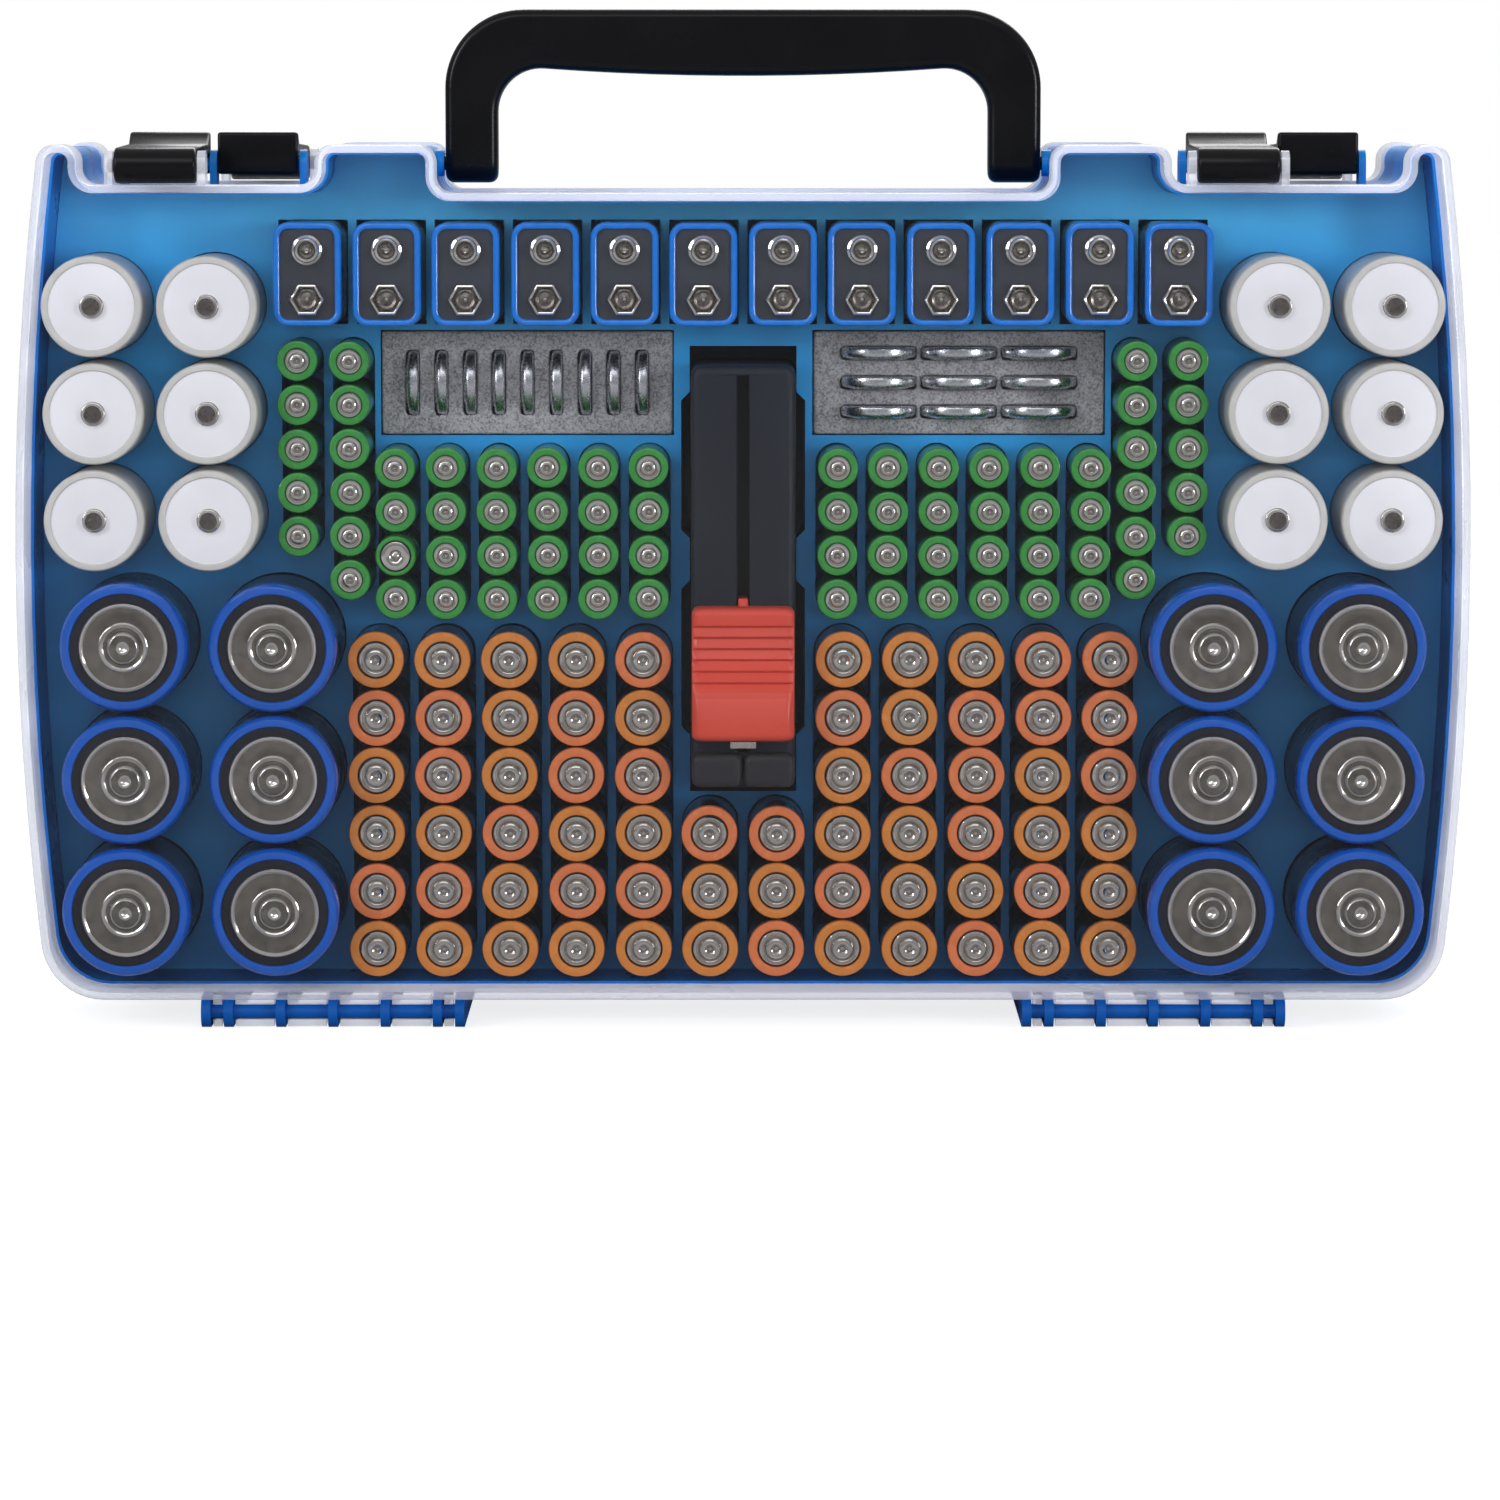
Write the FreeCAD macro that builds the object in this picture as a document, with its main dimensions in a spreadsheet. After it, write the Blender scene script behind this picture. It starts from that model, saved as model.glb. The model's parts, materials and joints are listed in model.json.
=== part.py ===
import FreeCAD, Part
import math
import os
import Sketcher

# Double-sided storage case for loose batteries, in millimetres.
# X runs to the right, -Y is the front, +Z is up. The origin is under the middle of the case,
# on the surface that the hinge feet stand on. The case is the same after half a turn about Z,
# except for what its two trays hold.

DOCUMENT = FreeCAD.newDocument("battery_case")
VECTOR = FreeCAD.Vector

# name, value, what it measures
SIZES = [
    # outline of the closed case
    ("case_depth", 88.0, "front face to rear face of the closed case"),
    ("case_top", 224.0, "height of the shoulders above the floor"),
    ("base_half_width", 176.0, "half width where the sides meet the underside"),
    ("top_half_width", 176.1, "half width where the sides meet the top"),
    ("side_radius", 844.0, "bow of the long sides"),
    ("base_round", 16.0, "outline radius of the two lower corners"),
    ("top_round", 4.5, "outline radius of the upper corners and shoulders"),
    ("notch_round", 4.0, "outline radius at the foot of the top recesses"),
    ("latch_recess_outer", 166.4, "latch recess, its side away from the handle"),
    ("latch_recess_inner", 107.1, "latch recess, its side near the handle"),
    ("latch_recess_drop", 10.0, "depth of the latch recess below the shoulders"),
    ("handle_recess_half", 77.2, "half length of the handle recess"),
    ("handle_recess_drop", 12.0, "depth of the handle recess below the shoulders"),
    # covers
    ("cover_depth", 18.0, "depth of each clear cover"),
    ("cover_wall", 2.0, "wall of the clear covers"),
    ("cover_edge_round", 3.6, "rounding of the cover's face"),
    ("seam_gap", 0.3, "gap between a cover and the frame"),
    # frame
    ("frame_inset", 0.8, "step from the cover's outline in to the frame's"),
    ("frame_wall", 1.8, "wall of the frame"),
    ("side_post_low", 104.0, "lower end of the side posts that carry the trays"),
    ("side_post_high", 118.0, "upper end of the side posts"),
    ("side_post_out", 182.9, "case's half width at the height of the side posts"),
    ("side_post_width", 5.0, "width of the side posts"),
    ("top_post_height", 3.5, "height of the posts inside the shoulders"),
    ("top_post_half", 7.0, "half length of the posts inside the shoulders"),
    # hinge feet
    ("foot_radius", 4.0, "radius of the hinge plates' round ends"),
    ("foot_gap", 0.4, "gap between the hinge plates and the covers"),
    ("hinge_reach", 31.0, "hinge axis from the middle plane of the case"),
    ("plate_thick", 2.4, "thickness of a hinge plate"),
    ("plate_pitch", 13.3, "spacing of the five middle hinge plates"),
    ("plate_end_pitch", 5.7, "spacing of the outer hinge plates"),
    ("hinge_block_centre", 104.5, "middle of a hinge block from the middle of the case"),
    ("rod_radius", 1.9, "hinge rod"),
    ("clip_play", 0.3, "gap between a hinge rod and the clip round it"),
    ("clip_thick", 1.5, "thickness of the clip"),
    ("clip_side_gap", 0.5, "gap between a clip and the plate beside it"),
    # latches
    ("latch_width", 20.5, "width of a latch"),
    ("latch_near", 147.0, "outer latch of a pair from the middle of the case"),
    ("latch_far", 124.0, "inner latch of a pair from the middle of the case"),
    ("latch_pivot_reach", 36.5, "latch axis from the middle plane of the case"),
    ("latch_pivot_rise", 4.8, "latch axis above the recess floor"),
    ("latch_barrel", 4.5, "radius of the latch round its axis"),
    ("latch_pin", 1.8, "radius of the latch's trunnions"),
    ("pin_play", 0.1, "running gap round a trunnion or pivot pin"),
    ("latch_side_gap", 0.35, "gap between a latch and the ear beside it"),
    ("cover_ear_thick", 2.0, "thickness of the cover's ears"),
    ("latch_plate", 3.2, "thickness of the latch's plate"),
    ("latch_lip", 3.0, "thickness of the lip that hooks over the keeper"),
    ("latch_lip_drop", 2.6, "the lip below the keeper's middle"),
    ("latch_lip_rise", 2.9, "finger edge above the latch's plate"),
    ("keeper_radius", 1.6, "keeper rod"),
    ("keeper_play", 0.4, "gap between the keeper and the latch"),
    ("keeper_ear_thick", 1.8, "thickness of the keeper's ears"),
    # handle
    ("handle_half_width", 76.1, "half width of the handle"),
    ("handle_leg", 13.4, "width of a handle leg"),
    ("handle_thick", 10.0, "handle, front to back"),
    ("handle_rise", 39.1, "top of the handle above its axis"),
    ("handle_pivot_drop", 5.0, "handle axis below the shoulders"),
    ("handle_grip_end", 14.1, "height of the grip at its ends"),
    ("handle_grip_bow", 700.0, "bow of the grip's underside"),
    ("handle_outer_round", 20.0, "outer corner of the handle"),
    ("handle_inner_round", 11.0, "inner corner of the handle"),
    ("handle_edge_round", 2.2, "rounded edges of the handle"),
    ("handle_pin", 1.8, "radius of the handle's pivot pins"),
    ("handle_boss", 3.4, "radius of the frame's boss round a pivot pin"),
    ("handle_side_gap", 0.4, "gap between a handle leg and its boss"),
    # front tray
    ("front_deck", -5.0, "outer face of the front tray"),
    ("deck_thick", 2.0, "thickness of a tray's deck"),
    ("well_wall", 1.2, "floor and outer wall of the wells"),
    ("cup_wall", 0.45, "wall round the C and D wells"),
    ("well_play", 0.25, "gap round a cell in its well"),
    ("tray_play", 0.1, "gap between a tray and the frame"),
    # rear tray
    ("rear_ledge", 22.2, "seat of the rear tray"),
    ("rear_plateau", 33.0, "outer face of the rear tray's plateau"),
    ("rear_cell_top", 40.3, "outermost line of the lying cells"),
    ("plateau_half_width", 172.0, "half width of the plateau"),
    ("plateau_low", 19.0, "lower edge of the plateau"),
    ("plateau_high", 200.0, "upper edge of the plateau"),
    ("plateau_round", 9.0, "corner of the plateau"),
    # standing cells: diameter, length, front end
    ("aa_dia", 14.3, "AA cell"),
    ("aa_len", 50.5, "AA cell"),
    ("aa_bottom", 20.8, "lower end of the standing AA cells"),
    ("aaa_dia", 10.3, "AAA cell"),
    ("aaa_len", 44.5, "AAA cell"),
    ("aaa_bottom", 19.2, "lower end of the standing AAA cells"),
    ("c_dia", 25.6, "C cell"),
    ("c_len", 50.0, "C cell"),
    ("c_bottom", 15.7, "lower end of the C cells"),
    ("d_dia", 32.6, "D cell"),
    ("d_len", 61.5, "D cell"),
    ("d_bottom", 20.7, "lower end of the D cells"),
    ("block_width", 17.3, "9 V block"),
    ("block_height", 26.2, "9 V block"),
    ("block_len", 46.4, "9 V block without its terminals"),
    ("block_bottom", 19.0, "lower end of the 9 V blocks"),
    ("terminal_round", 2.9, "radius of a 9 V block's round terminal"),
    ("terminal_hex", 4.0, "radius over the corners of its six-sided terminal"),
    ("terminal_height", 2.1, "height of both terminals"),
    ("terminal_pitch", 12.7, "spacing of the terminals"),
    ("c_nub", 6.2, "positive terminal of a C cell"),
    ("d_nub", 9.5, "positive terminal of a D cell"),
    ("nub_height", 1.5, "height of the terminal of the C and D cells"),
    # places of the standing cells
    ("aa_column_pitch", 16.95, "AA columns"),
    ("aa_row_pitch", 14.8, "AA rows"),
    ("aa_row_low", 19.7, "lowest AA row"),
    ("aaa_column_first", 24.0, "first AAA column"),
    ("aaa_column_pitch", 12.86, "AAA columns"),
    ("aaa_outer_first", 99.8, "first of the two outer AAA columns"),
    ("aaa_outer_pitch", 13.1, "outer AAA columns"),
    ("aaa_row_pitch", 11.12, "AAA rows"),
    ("aaa_inner_high", 142.2, "highest row of the inner AAA columns"),
    ("aaa_outer_high", 169.3, "highest row of the outer AAA columns"),
    ("c_column_inner", 135.0, "inner C column"),
    ("c_column_pitch", 28.95, "C columns"),
    ("c_row_high", 183.4, "highest C row"),
    ("c_row_pitch", 26.95, "C rows"),
    ("d_column_inner", 118.75, "inner D column"),
    ("d_column_pitch", 37.5, "D columns"),
    ("d_row_low", 30.4, "lowest D row"),
    ("d_row_pitch", 33.65, "D rows"),
    ("block_pitch", 20.0, "9 V blocks"),
    ("block_row", 191.3, "middle of the 9 V row"),
    # lying cells: diameter, length, place beside the middle, highest row, row pitch
    ("li_dia", 18.6, "18650 cell"),
    ("li_len", 68.0, "18650 cell"),
    ("li_side", 133.3, "18650 cells beside the middle"),
    ("li_high", 184.6, "highest 18650 cells"),
    ("li_pitch", 21.2, "18650 cells"),
    ("photo_two_dia", 15.6, "CR2 cell"),
    ("photo_two_len", 27.0, "CR2 cell"),
    ("photo_two_side", 78.4, "CR2 cells beside the middle"),
    ("photo_two_high", 176.8, "highest CR2 cells"),
    ("photo_two_pitch", 18.1, "CR2 cells"),
    ("photo_dia", 17.0, "CR123A cell"),
    ("photo_len", 34.5, "CR123A cell"),
    ("photo_side", 38.7, "CR123A cells beside the middle"),
    ("photo_high", 172.5, "highest CR123A cells"),
    ("photo_pitch", 19.65, "CR123A cells"),
    ("six_volt_dia", 13.0, "4LR44 cell"),
    ("six_volt_len", 25.2, "4LR44 cell"),
    ("six_volt_high", 173.9, "highest 4LR44 cell"),
    ("six_volt_pitch", 14.6, "4LR44 cells"),
    ("remote_dia", 10.3, "A23 cell"),
    ("remote_len", 28.5, "A23 cell"),
    ("remote_row", 191.9, "row of A23 cells"),
    ("remote_pitch", 31.8, "A23 cells"),
    ("rear_aa_side", 141.1, "lying AA cells beside the middle"),
    ("rear_aa_high", 123.6, "highest lying AA cells"),
    ("rear_aa_pitch", 16.25, "lying AA cells"),
    ("rear_aaa_side", 86.0, "upper lying AAA cells beside the middle"),
    ("rear_aaa_high", 124.6, "highest upper lying AAA cells"),
    ("rear_aaa_pitch", 10.4, "upper lying AAA cells"),
    ("low_aaa_side", 38.0, "lower lying AAA cells beside the middle"),
    ("low_aaa_step", 48.0, "lower lying AAA cells, end to end"),
    ("low_aaa_high", 51.4, "highest lower lying AAA cells"),
    ("low_aaa_pitch", 11.6, "lower lying AAA cells"),
    ("low_aaa_row", 28.2, "lowest row of lying AAA cells"),
    ("end_play", 0.5, "gap at each end of a lying cell"),
    # battery tester and its pocket
    ("tester_width", 26.6, "battery tester"),
    ("tester_low", 61.0, "lower end of the tester"),
    ("tester_high", 168.3, "upper end of the tester"),
    ("tester_face", -29.0, "front face of the tester's body"),
    ("tester_back", 19.0, "rear face of the tester's body"),
    ("tester_play", 0.4, "gap between the tester and the sides of its pocket"),
    ("pocket_low", 57.5, "lower end of the tester's pocket"),
    ("pocket_high", 172.4, "upper end of the tester's pocket"),
    ("rail_width", 3.0, "slot that the slider runs in"),
    ("rail_depth", 9.0, "depth of that slot"),
    ("rail_high", 165.9, "upper end of that slot"),
    ("slider_low", 73.6, "lower end of the slider at rest"),
    ("slider_height", 34.0, "slider"),
    ("slider_thick", 8.0, "slider, front to back"),
    ("slider_width", 26.0, "slider"),
    ("slider_play", 0.25, "running gap of the slider"),
    ("rib_high", 102.2, "highest finger rib of the slider"),
    ("rib_pitch", 2.9, "finger ribs of the slider"),
    ("rib_rise", 0.9, "height of a finger rib"),
    ("contact_width", 6.5, "metal contact under the slider"),
    ("contact_thick", 1.6, "height of that contact"),
    ("anvil_low", 62.0, "lower jaw of the tester, from"),
    ("anvil_high", 70.3, "lower jaw of the tester, to"),
    ("anvil_thick", 7.5, "lower jaw, front to back"),
    ("finger_notch", 2.2, "width of the finger notches beside the tester, and their chamfer"),
    ("finger_depth", 22.0, "depth of the finger notches"),
    ("notch_low", 72.1, "lower pair of finger notches, from"),
    ("notch_mid_low", 112.1, "lower pair of finger notches, to"),
    ("notch_mid_high", 122.9, "upper pair of finger notches, from"),
    ("notch_high", 160.6, "upper pair of finger notches, to"),
    # foam pads and coin cells
    ("foam_centre", 55.3, "middle of a foam pad from the middle of the case"),
    ("foam_width", 74.5, "foam pad"),
    ("foam_low", 149.8, "lower edge of the foam pads"),
    ("foam_high", 176.2, "upper edge of the foam pads"),
    ("foam_face", -5.5, "front face of the foam pads"),
    ("foam_thick", 17.5, "foam pad, front to back"),
    ("foam_play", 0.3, "gap between a foam pad and its pocket"),
    ("coin_dia", 20.0, "coin cell"),
    ("coin_thick", 3.2, "coin cell"),
    ("coin_play", 0.2, "gap round a coin cell in its slot"),
    ("upright_coin_out", 4.0, "how far the upright coin cells stand out of their pad"),
    ("lying_coin_out", 7.0, "how far the lying coin cells stand out of their pad"),
    ("coin_pitch", 7.35, "upright coin cells"),
    ("coin_stack_pitch", 7.5, "lying coin cells, one above the other"),
    ("coin_row_pitch", 20.6, "lying coin cells, side by side"),
]


class Size:
    """A number together with the expression that keeps it bound to the sheet."""

    def __init__(self, value, text):
        self.value = value
        self.text = text

    def __add__(self, other):
        other = as_size(other)
        return Size(self.value + other.value, "(%s + %s)" % (self.text, other.text))

    def __sub__(self, other):
        other = as_size(other)
        return Size(self.value - other.value, "(%s - %s)" % (self.text, other.text))

    def __mul__(self, factor):
        return Size(self.value * factor, "(%s * %.9g)" % (self.text, factor))

    def __neg__(self):
        return self * -1

    def __radd__(self, other):
        return as_size(other) + self

    def __rsub__(self, other):
        return as_size(other) - self

    __rmul__ = __mul__


def as_size(number):
    if isinstance(number, Size):
        return number
    return Size(float(number), "(%.9g)" % number)


def make_sheet():
    """The driving dimensions, one named cell each."""
    sheet = DOCUMENT.addObject("Spreadsheet::Sheet", "sizes")
    sizes = {}
    for row, (name, value, words) in enumerate(SIZES, start=1):
        sheet.set("A%d" % row, words)
        sheet.set("B%d" % row, str(value))
        sheet.setAlias("B%d" % row, name)
        sizes[name] = Size(value, "<<sizes>>.%s" % name)
    DOCUMENT.recompute()
    return sizes


S = make_sheet()

# ---------------------------------------------------------------- helpers


def new_body(label):
    body = DOCUMENT.addObject("PartDesign::Body", label)
    body.Label = label
    return body


PLANES = {"x": ("YZ_Plane", 1), "y": ("XZ_Plane", -1), "z": ("XY_Plane", 1)}


def sketch_at(body, axis, place):
    """An empty sketch square to an axis. Its own axes are the other two, in X, Y, Z order."""
    role, sign = PLANES[axis]
    sketch = body.newObject("Sketcher::SketchObject", body.Name + "_profile")
    plane = [item for item in body.Origin.OriginFeatures if item.Role == role][0]
    sketch.AttachmentSupport = [(plane, "")]
    sketch.MapMode = "FlatFace"
    offset = as_size(place) * sign
    sketch.AttachmentOffset = FreeCAD.Placement(VECTOR(0, 0, offset.value), FreeCAD.Rotation())
    sketch.setExpression(".AttachmentOffset.Base.z", offset.text)
    return sketch


def bind(sketch, kind, geometry, point, size):
    """Hold one point of the sketch at a bound distance from its origin, along one of its axes."""
    index = sketch.addConstraint(Sketcher.Constraint(kind, -1, 1, geometry, point, size.value))
    sketch.setExpression("Constraints[%d]" % index, size.text)


def add_loop(sketch, points, arcs=None):
    """A closed loop through the points. arcs maps an edge number to ("radius", size), bowed outwards,
    or to ("centre", x, y), which turns about that point."""
    arcs = arcs or {}
    points = [(as_size(u), as_size(v)) for u, v in points]
    flat = [VECTOR(u.value, v.value, 0) for u, v in points]
    count = len(points)
    turn = sum(a.x * b.y - a.y * b.x for a, b in zip(flat, flat[1:] + flat[:1]))
    first = sketch.GeometryCount
    starts = []
    for edge in range(count):
        a, b = flat[edge], flat[(edge + 1) % count]
        if edge not in arcs:
            starts.append((sketch.addGeometry(Part.LineSegment(a, b)), 1, 2))
            continue
        chord = b - a
        outwards = VECTOR(chord.y, -chord.x, 0).normalize() * (1 if turn > 0 else -1)
        if arcs[edge][0] == "radius":
            radius = arcs[edge][1].value
            bow = radius - math.sqrt(radius ** 2 - (chord.Length / 2) ** 2)
        else:
            centre = VECTOR(as_size(arcs[edge][1]).value, as_size(arcs[edge][2]).value, 0)
            radius = (a - centre).Length
            bow = radius + (centre - (a + b) * 0.5) * outwards
        middle = (a + b) * 0.5 + outwards * bow
        arc = Part.Arc(a, middle, b)
        index = sketch.addGeometry(arc)
        placed = sketch.Geometry[index]
        forward = (placed.StartPoint - a).Length < (placed.EndPoint - a).Length
        starts.append((index, 1, 2) if forward else (index, 2, 1))
    for edge in range(count):
        here, there = starts[edge], starts[(edge + 1) % count]
        sketch.addConstraint(Sketcher.Constraint("Coincident", here[0], here[2], there[0], there[1]))
    for edge in range(count):
        geometry, start, _ = starts[edge]
        bind(sketch, "DistanceX", geometry, start, points[edge][0])
        bind(sketch, "DistanceY", geometry, start, points[edge][1])
        if edge in arcs and arcs[edge][0] == "radius":
            index = sketch.addConstraint(Sketcher.Constraint("Radius", geometry, arcs[edge][1].value))
            sketch.setExpression("Constraints[%d]" % index, arcs[edge][1].text)
        elif edge in arcs:
            chord = flat[(edge + 1) % count] - flat[edge]
            level = abs(chord.y) < abs(chord.x)
            kind, value = ("DistanceY", arcs[edge][2]) if level else ("DistanceX", arcs[edge][1])
            bind(sketch, kind, geometry, 3, as_size(value))
    return first


def rectangle(u_low, v_low, u_high, v_high):
    return [(u_low, v_low), (u_high, v_low), (u_high, v_high), (u_low, v_high)]


def add_circle(sketch, u, v, radius):
    u, v, radius = as_size(u), as_size(v), as_size(radius)
    index = sketch.addGeometry(Part.Circle(VECTOR(u.value, v.value, 0), VECTOR(0, 0, 1), radius.value))
    bind(sketch, "DistanceX", index, 3, u)
    bind(sketch, "DistanceY", index, 3, v)
    constraint = sketch.addConstraint(Sketcher.Constraint("Radius", index, radius.value))
    sketch.setExpression("Constraints[%d]" % constraint, radius.text)


def add_stadium(sketch, u, v_low, v_high, radius):
    """An upright slot with round ends, from the centre of one end to the centre of the other."""
    add_loop(
        sketch,
        [(u - radius, v_low), (u + radius, v_low), (u + radius, v_high), (u - radius, v_high)],
        {0: ("centre", u, v_low), 2: ("centre", u, v_high)},
    )


def solid_step(body, kind, axis, low, high, draw):
    """Pad or Pocket what draw() puts in a sketch, from low to high along an axis."""
    low, high = as_size(low), as_size(high)
    towards_high = (kind == "Pad") == (PLANES[axis][1] > 0)
    sketch = sketch_at(body, axis, low if towards_high else high)
    draw(sketch)
    step = body.newObject("PartDesign::" + kind, body.Name + "_" + kind.lower())
    step.Profile = sketch
    length = high - low
    step.Length = length.value
    step.setExpression("Length", length.text)
    body.Tip = step
    DOCUMENT.recompute()
    return step


def pad(body, axis, low, high, draw):
    return solid_step(body, "Pad", axis, low, high, draw)


def pocket(body, axis, low, high, draw):
    before = body.Shape.Volume
    step = solid_step(body, "Pocket", axis, low, high, draw)
    if body.Shape.Volume > before - 1e-3:
        raise RuntimeError("a pocket of %s cuts nothing" % body.Label)
    return step


def round_edges(body, wanted, radius):
    """Fillet the edges of the body that wanted() picks."""
    names = ["Edge%d" % (number + 1) for number, edge in enumerate(body.Shape.Edges) if wanted(edge)]
    base = body.Tip
    step = body.newObject("PartDesign::Fillet", body.Name + "_fillet")
    step.Base = (base, names)
    step.Radius = as_size(radius).value
    step.setExpression("Radius", as_size(radius).text)
    body.Tip = step
    DOCUMENT.recompute()
    return step


def runs_along(edge, axis):
    """Whether an edge is straight and parallel to an axis."""
    if edge.Curve.TypeId != "Part::GeomLine":
        return False
    return abs(abs(edge.tangentAt(edge.FirstParameter).dot(axis)) - 1) < 1e-6


def near(first, second, slack=0.01):
    return abs(first - second) < slack


def turned_copy(label, source):
    """The same piece half a turn about Z further on."""
    copy = DOCUMENT.addObject("Part::Compound", label)
    copy.Label = label
    copy.Links = [source]
    copy.Placement = FreeCAD.Placement(VECTOR(0, 0, 0), FreeCAD.Rotation(VECTOR(0, 0, 1), 180))
    return copy


X_AXIS, Y_AXIS, Z_AXIS = VECTOR(1, 0, 0), VECTOR(0, 1, 0), VECTOR(0, 0, 1)

# ---------------------------------------------------------------- levels that several pieces share

HALF_DEPTH = S["case_depth"] * 0.5
SEAM = HALF_DEPTH - S["cover_depth"]
BASE = S["foot_radius"] * 2 + S["foot_gap"]
LATCH_FLOOR = S["case_top"] - S["latch_recess_drop"]
HANDLE_FLOOR = S["case_top"] - S["handle_recess_drop"]
HINGE_Z = S["foot_radius"]
LATCH_Z = LATCH_FLOOR + S["latch_pivot_rise"]
KEEPER_Z = LATCH_Z
HANDLE_Z = S["case_top"] - S["handle_pivot_drop"]
FRAME_INSIDE = S["frame_inset"] + S["frame_wall"]


def outline(inset):
    """Corner points of the case seen from the front, stepped inwards, with each corner's radius."""
    corners = [
        (S["base_half_width"] - inset, BASE + inset, S["base_round"] - inset),
        (S["top_half_width"] - inset, S["case_top"] - inset, S["top_round"] - inset),
        (S["latch_recess_outer"] + inset, S["case_top"] - inset, S["top_round"] - inset),
        (S["latch_recess_outer"] + inset, LATCH_FLOOR - inset, S["notch_round"] + inset),
        (S["latch_recess_inner"] - inset, LATCH_FLOOR - inset, S["notch_round"] + inset),
        (S["latch_recess_inner"] - inset, S["case_top"] - inset, S["top_round"] - inset),
        (S["handle_recess_half"] + inset, S["case_top"] - inset, S["top_round"] - inset),
        (S["handle_recess_half"] + inset, HANDLE_FLOOR - inset, S["notch_round"] + inset),
    ]
    mirrored = [(-u, v, radius) for u, v, radius in reversed(corners)]
    return corners + mirrored


def outlined(body, kind, low, high, inset):
    """Pad or pocket the case's outline. Returns its corners, which are still sharp."""
    inset = as_size(inset)
    corners = outline(inset)
    side = S["side_radius"] - inset
    points = [(u, v) for u, v, _ in corners]
    bowed = {0: ("radius", side), len(corners) - 2: ("radius", side)}
    solid_step(body, kind, "y", low, high, lambda sketch: add_loop(sketch, points, bowed))
    return corners


def round_outline(body, corners, low, high):
    """Fillet the corners of an outline that run from low to high along Y, one radius at a time."""
    radii = {}
    for u, v, radius in corners:
        radii.setdefault(radius.text, (radius, []))[1].append((u.value, v.value))
    for radius, places in radii.values():

        def on_corner(edge):
            if not runs_along(edge, Y_AXIS):
                return False
            box = edge.BoundBox
            if not (near(box.YMin, as_size(low).value) and near(box.YMax, as_size(high).value)):
                return False
            return any(near(box.Center.x, u) and near(box.Center.z, v) for u, v in places)

        round_edges(body, on_corner, radius)


# ---------------------------------------------------------------- covers

HINGE_BLOCKS = (S["hinge_block_centre"], -S["hinge_block_centre"])
PLATE_OFFSETS = [S["plate_pitch"] * step for step in (-2, -1, 0, 1, 2)]
PLATE_OFFSETS.insert(0, PLATE_OFFSETS[0] - S["plate_end_pitch"])
PLATE_OFFSETS.append(PLATE_OFFSETS[-1] + S["plate_end_pitch"])
FRONT_LATCHES = {"left": -S["latch_near"], "right": S["latch_far"]}
EAR_INSIDE = S["latch_width"] * 0.5 + S["latch_side_gap"]


def make_cover():
    """A shallow clear tray with notches at its top, clips for the hinge rods and ears for two latches."""
    body = new_body("front_cover")
    front, rim = -HALF_DEPTH, -SEAM - S["seam_gap"]
    floor = front + S["cover_wall"]
    outer = outlined(body, "Pad", front, rim, 0)
    inner = outlined(body, "Pocket", floor, rim, S["cover_wall"])
    round_outline(body, inner, floor, rim)
    round_outline(body, outer, front, rim)
    round_edges(
        body,
        lambda edge: near(edge.BoundBox.YMax, front.value) and near(edge.BoundBox.YMin, front.value),
        S["cover_edge_round"],
    )

    axis = -S["hinge_reach"]
    hollow = S["rod_radius"] + S["clip_play"]
    outside = hollow + S["clip_thick"]
    mouth = axis - hollow * 0.5
    anchor = BASE + S["cover_wall"] * 0.5
    clip = [
        (mouth, HINGE_Z - outside),
        (axis, HINGE_Z - outside),
        (axis + outside, HINGE_Z),
        (axis + outside, anchor),
        (mouth, anchor),
    ]
    side = S["plate_thick"] * 0.5 + S["clip_side_gap"]
    for centre in HINGE_BLOCKS:
        pad(
            body,
            "x",
            centre + PLATE_OFFSETS[0] + side,
            centre + PLATE_OFFSETS[-1] - side,
            lambda sketch: add_loop(sketch, clip, {1: ("centre", axis, HINGE_Z)}),
        )
    reach = S["hinge_block_centre"] * 2
    pocket(body, "x", -reach, reach, lambda sketch: add_circle(sketch, axis, HINGE_Z, hollow))

    def plate_gaps(sketch):
        for centre in HINGE_BLOCKS:
            for offset in PLATE_OFFSETS[1:-1]:
                plate = centre + offset
                add_loop(sketch, rectangle(plate - side, -S["foot_radius"], plate + side, BASE))

    pocket(body, "y", axis - outside * 2, axis + outside * 2, plate_gaps)

    pivot = -S["latch_pivot_reach"]
    ear_round = S["latch_barrel"] - S["cover_ear_thick"] * 0.4
    ear = [
        (pivot - ear_round, LATCH_FLOOR - S["cover_wall"] * 0.5),
        (pivot + ear_round, LATCH_FLOOR - S["cover_wall"] * 0.5),
        (pivot + ear_round, LATCH_Z),
        (pivot - ear_round, LATCH_Z),
    ]
    hole = S["latch_pin"] + S["pin_play"]
    for centre in FRONT_LATCHES.values():
        for low in (centre - EAR_INSIDE - S["cover_ear_thick"], centre + EAR_INSIDE):
            high = low + S["cover_ear_thick"]
            pad(body, "x", low, high, lambda sketch: add_loop(sketch, ear, {2: ("centre", pivot, LATCH_Z)}))
            pocket(body, "x", low, high, lambda sketch: add_circle(sketch, pivot, LATCH_Z, hole))
    return body


# ---------------------------------------------------------------- frame


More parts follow.
